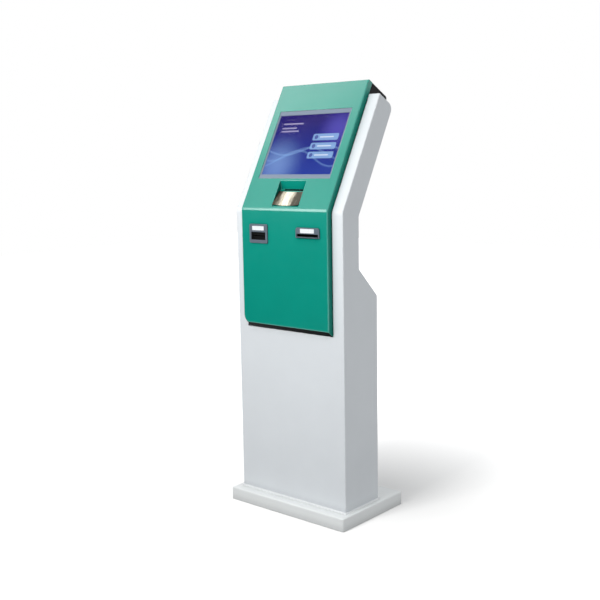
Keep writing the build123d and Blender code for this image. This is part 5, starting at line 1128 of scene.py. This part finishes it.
@dataclass
class RearDoor(Assembly):
    """Rear service door with vents, fan, lock and hinge screws."""

    rear_y: float = 0.056
    leaf: float = 0.002
    fixed_x: float = -0.2222
    moving_x: float = -0.1955
    hinge_z: tuple[float, ...] = (0.192, 0.430, 0.668)
    screw_spread: float = 0.021
    fan_x: float = -0.1
    fan_z: float = 0.612
    fan_half: float = 0.03575
    guard: float = 0.0015
    outward: Point = (0.0, 1.0, 0.0)
    hinge_screw: ScrewHeads = field(
        default_factory=lambda: ScrewHeads(radius=0.0034, height=0.0014, recess_depth=0.0008)
    )

    def finishes(self) -> dict[str, Dressing]:
        """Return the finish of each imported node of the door."""
        return {
            "rear_door": POWDER_WHITE, "door_hinge_moving_leaves": ZINC_HARDWARE, "lock_barrel": CHROME,
            "lock_cam": CHROME, "fan_frame": THROAT_BLACK, "fan_rotor": THROAT_BLACK, "fan_guard": CHROME,
        }

    def build_hinge_screws(self, body: Body, x: float) -> bpy.types.Object:
        """Set three screws on the leaf of each hinge.

        Args:
            body: body that the leaf belongs to.
            x: middle of the leaf.

        Returns:
            One object with the screws of that body.
        """
        spread = np.array([-1.0, 0.0, 1.0]) * self.screw_spread
        z = (np.array(self.hinge_z)[:, None] + spread).ravel()
        seats = np.stack([np.full_like(z, x), np.full_like(z, self.rear_y + self.leaf), z], -1)
        name = f"hinge_screws_{body.value}"
        piece = self.hinge_screw.build(self.shop, name, seats, self.outward, ZINC_HARDWARE)
        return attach(piece, body.value)

    def build_fan_screws(self) -> bpy.types.Object:
        """Set cross-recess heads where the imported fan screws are.

        Returns:
            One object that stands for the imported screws.
        """
        side = np.array([-1.0, 1.0]) * self.fan_half
        x, z = np.meshgrid(self.fan_x + side, self.fan_z + side)
        seats = np.stack([x, np.full_like(x, self.rear_y + self.guard), z], -1).reshape(-1, 3)
        piece = ScrewHeads().build(self.shop, "fan_screw_heads", seats, self.outward, ZINC_HARDWARE)
        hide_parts("fan_screws")
        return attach(piece, Body.DOOR.value)


@dataclass
class Works(Assembly):
    """Printer, paper, gas struts, modules and power inside the kiosk."""

    roll_y: float = -0.0337
    roll_z: float = 0.56
    inlet_x: float = 0.140
    inlet_y: float = 0.0281
    inlet_z: float = 0.079
    supply_y: float = -0.0071
    supply_z: float = 0.071
    wire_spacing: float = 0.012
    wire_pull: float = 0.018
    lead_radius: float = 0.003
    lead_y: float = -0.06
    lead_start_x: float = 0.055
    lead_start_z: float = 0.075
    lead_end_x: float = 0.035
    lead_end_z: float = 0.150
    lead_pull: float = 0.015

    def finishes(self) -> dict[str, Dressing]:
        """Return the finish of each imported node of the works."""
        return {
            "card_reader": THROAT_BLACK, "receipt_printer": THROAT_BLACK, "printer_frame": ZINC_SHEET,
            "platen_roller": GROUND_RUBBER, "platen_shaft": GROUND_STEEL, "platen_gear": NATURAL_ACETAL,
            "motor_pinion": NATURAL_ACETAL, "feed_motor": CHASSIS_BLACK, "print_head": ANODISED,
            "cutter_bed": GROUND_STEEL, "cutter_blade": GROUND_STEEL, "cutter_solenoid": CHASSIS_BLACK,
            "ticket_deflector": GROUND_STEEL, "ticket_web": WEB_PAPER, "roll_core": CORE_BOARD,
            "roll_spindle": ZINC_HARDWARE, "computer": POWDER_BLACK, "power_supply": ANODISED,
            "mains_inlet": THROAT_BLACK, "power_rocker": THROAT_BLACK, "strut_tubes": GLOSS_BLACK,
            "strut_rods": CHROME, "ticket_roll": RollPaper("wound_ticket_paper", self.roll_y, self.roll_z),
        }

    def build_leads(self) -> None:
        """Run the three mains wires from inlet to supply and the supply's lead over to the computer."""
        for place, finish in zip((-1, 0, 1), INSULATION):
            x = self.inlet_x + place * self.wire_spacing
            knots = [
                (x, self.inlet_y, self.inlet_z), (x, self.inlet_y - self.wire_pull, self.inlet_z),
                (x, self.supply_y + self.wire_pull, self.supply_z), (x, self.supply_y, self.supply_z),
            ]
            wire = Lead().build(self.shop, f"mains_wire_{finish.name}", knots, (1.0, 0.0, 0.0), finish)
            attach(wire, Body.CABINET.value)
        knots = [
            (self.lead_start_x, self.lead_y, self.lead_start_z),
            (self.lead_start_x - self.lead_pull, self.lead_y, self.lead_start_z),
            (self.lead_end_x + self.lead_pull, self.lead_y, self.lead_end_z),
            (self.lead_end_x, self.lead_y, self.lead_end_z),
        ]
        lead = Lead(self.lead_radius).build(self.shop, "supply_lead", knots, (0.0, 1.0, 0.0), BLACK_RUBBER_AND_SHADE)
        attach(lead, Body.CABINET.value)


@dataclass(frozen=True)
class Lamp:
    """A soft lamp: what it acts on, its middle, the point it faces, its width and height, and its watts."""

    name: str
    use: LampUse
    place: Point
    target: Point
    size: tuple[float, float]
    power: float

    def hang(self) -> None:
        """Hang the lamp in the scene, turned to its target."""
        data = bpy.data.lights.new(self.name, "AREA")
        data.shape = "RECTANGLE"
        data.size, data.size_y = self.size
        data.energy = self.power
        lamp = bpy.data.objects.new(self.name, data)
        lamp.location = self.place
        lamp.rotation_euler = (Vector(self.target) - Vector(self.place)).to_track_quat("-Z", "Y").to_euler()
        lamp.visible_diffuse, lamp.visible_glossy = self.use.value
        bpy.context.scene.collection.objects.link(lamp)


def stage_sheet(name: str, corners: np.ndarray, material: bpy.types.Material) -> bpy.types.Object:
    """Make a flat sheet of the studio, which is not part of the kiosk.

    Args:
        name: name of the sheet.
        corners: its four corners in order.
        material: its material.

    Returns:
        The sheet, linked to the scene.
    """
    mesh = bpy.data.meshes.new(name)
    mesh.from_pydata(corners.tolist(), [], [(0, 1, 2, 3)])
    mesh.materials.append(material)
    sheet = bpy.data.objects.new(name, mesh)
    bpy.context.scene.collection.objects.link(sheet)
    return sheet


@dataclass
class Studio:
    """Pale floor, soft lamps and the camera at the photo's place."""

    eye: Point = (2.0938, -2.4959, 1.2285)
    yaw: float = math.radians(40.8)
    pitch: float = math.radians(8.6)
    roll: float = math.radians(-1.0)
    focal_pixels: float = 940.8
    picture_pixels: float = 600.0
    sensor: float = 36.0
    sky: float = 0.5
    sky_colour: Colour = (0.94, 0.97, 1.0, 1.0)
    floor_half: float = 9.0
    floor_drop: float = 0.0004
    floor_colour: Colour = (1.0, 0.985, 0.965, 1.0)
    floor_bounce: Colour = (0.34, 0.34, 0.34, 1.0)
    # The floor's glow is lowest round this middle and full at the far reach: a painted shadow.
    painted_shadow_glow: float = 0.03
    painted_shadow_middle: Point = (0.1, 0.2, 0.0)
    painted_shadow_near: float = 0.1
    painted_shadow_far: float = 1.4
    card_colour: Colour = (0.01, 0.01, 0.01, 1.0)
    card_foot: Point = (-1.35, -1.6, 0.0)
    card_turn: float = math.radians(-45.0)
    card_half: float = 0.8
    card_height: float = 1.1
    # A soft key in front, fills at the right and behind, and two strips that the fascia mirrors.
    lamps: tuple[Lamp, ...] = (
        Lamp("key_lamp", LampUse.MATT, (-0.05, -1.9, 1.75), (0.0, -0.1, 1.2), (0.7, 0.7), 32.0),
        Lamp("side_lamp", LampUse.MATT, (3.2, 0.4, 1.3), (0.0, 0.0, 0.7), (1.5, 2.0), 13.0),
        Lamp("rear_lamp", LampUse.MATT, (-0.5, 3.0, 2.0), (0.0, 0.0, 0.8), (1.5, 1.5), 9.0),
        Lamp("bend_strip", LampUse.GLOSS, (-1.98, -2.37, 2.1), (0.0, -0.15, 1.05), (0.85, 1.7), 29.0),
        Lamp("top_strip", LampUse.GLOSS, (-1.9, -0.45, 3.6), (0.0, -0.05, 1.3), (1.5, 1.5), 15.0),
    )

    def build(self) -> None:
        """Set up floor, card, sky, lamps and camera."""
        self.build_floor()
        self.build_card()
        self.build_sky()
        for lamp in self.lamps:
            lamp.hang()
        self.build_camera()

    def build_floor(self) -> None:
        """Lay the floor: white to the camera, shaded by the object and by a painted shadow round a set
        middle.
        """
        graph = Graph(bpy.data.materials.new("studio_floor"))
        ends = {"i0": graph.object_coordinates(), "i1": self.painted_shadow_middle}
        away = graph.add("VectorMath", {"operation": "DISTANCE"}, **ends).outputs["Value"]
        # Painted shadow: the glow is dimmed round a set middle, not where the object blocks light.
        level = graph.ramp(away, self.painted_shadow_near, self.painted_shadow_far, self.painted_shadow_glow, 1.0)
        matt = graph.add("BsdfDiffuse", Color=self.floor_colour)
        glow = graph.add("Emission", Color=WHITE, Strength=level)
        bright = graph.add("AddShader", i0=matt.outputs[0], i1=glow.outputs[0])
        plain = graph.add("BsdfDiffuse", Color=self.floor_bounce)
        mix = graph.add("MixShader", i0=graph.seen(), i1=plain.outputs[0], i2=bright.outputs[0])
        square = np.array([[-1.0, -1.0, 0.0], [1.0, -1.0, 0.0], [1.0, 1.0, 0.0], [-1.0, 1.0, 0.0]])
        corners = square * self.floor_half - np.array([0.0, 0.0, self.floor_drop])
        stage_sheet("floor", corners, graph.surface(mix))

    def build_card(self) -> None:
        """Stand a black card at the left, only mirrored, so that upright gloss keeps its colour."""
        graph = Graph(bpy.data.materials.new("studio_card"))
        material = graph.surface(graph.add("BsdfDiffuse", Color=self.card_colour))
        run = np.array([math.cos(self.card_turn), math.sin(self.card_turn), 0.0]) * self.card_half
        rise = np.array([0.0, 0.0, self.card_height])
        foot = np.array(self.card_foot)
        corners = np.stack([foot - run, foot + run, foot + run + rise, foot - run + rise])
        stage_sheet("card", corners, material).visible_camera = False

    def build_sky(self) -> None:
        """Set the world: white where it is seen or mirrored, a plain level where it lights."""
        graph = Graph(bpy.data.worlds.new("studio_sky"))
        light = graph.add("Background", Color=self.sky_colour, Strength=self.sky)
        white = graph.add("Background", Color=WHITE, Strength=1.0)
        mix = graph.add("MixShader", i0=graph.seen(), i1=light.outputs[0], i2=white.outputs[0])
        bpy.context.scene.world = graph.surface(mix)

    def build_camera(self) -> None:
        """Place the camera as the photo's straight edges gave it."""
        sin, cos = math.sin, math.cos
        level = cos(self.pitch)
        ahead = Vector((-sin(self.yaw) * level, cos(self.yaw) * level, -sin(self.pitch)))
        right = Vector((cos(self.yaw), sin(self.yaw), 0.0))
        up = right.cross(ahead)
        tilted_right = right * cos(self.roll) + up * sin(self.roll)
        tilted_up = up * cos(self.roll) - right * sin(self.roll)
        turn = Matrix((tilted_right, tilted_up, -ahead)).transposed().to_4x4()
        data = bpy.data.cameras.new("photo_camera")
        data.sensor_width = self.sensor
        data.lens = self.focal_pixels / self.picture_pixels * self.sensor
        camera = bpy.data.objects.new("photo_camera", data)
        camera.matrix_world = Matrix.Translation(Vector(self.eye)) @ turn
        bpy.context.scene.collection.objects.link(camera)
        bpy.context.scene.camera = camera


def main() -> None:
    """Dress and complete each sub-assembly, then set up the studio."""
    logging.basicConfig(level=logging.INFO, format="%(name)s: %(message)s")
    shop = PaintShop()
    cabinet, fascia, screen = Cabinet(shop), Fascia(shop), Screen(shop)
    cover, door, works = HeadCover(shop), RearDoor(shop), Works(shop)
    for assembly in (cabinet, fascia, screen, cover, door, works):
        assembly.dress()
    for side in (-1, 1):
        cabinet.build_seal(side)
    fascia.build_foot_shade_strip()
    works.build_leads()
    cover.build_screws()
    door.build_hinge_screws(Body.CABINET, door.fixed_x)
    door.build_hinge_screws(Body.DOOR, door.moving_x)
    door.build_fan_screws()
    Studio().build()
    bpy.context.scene.view_settings.view_transform = "Standard"


if __name__ == "__main__":
    main()
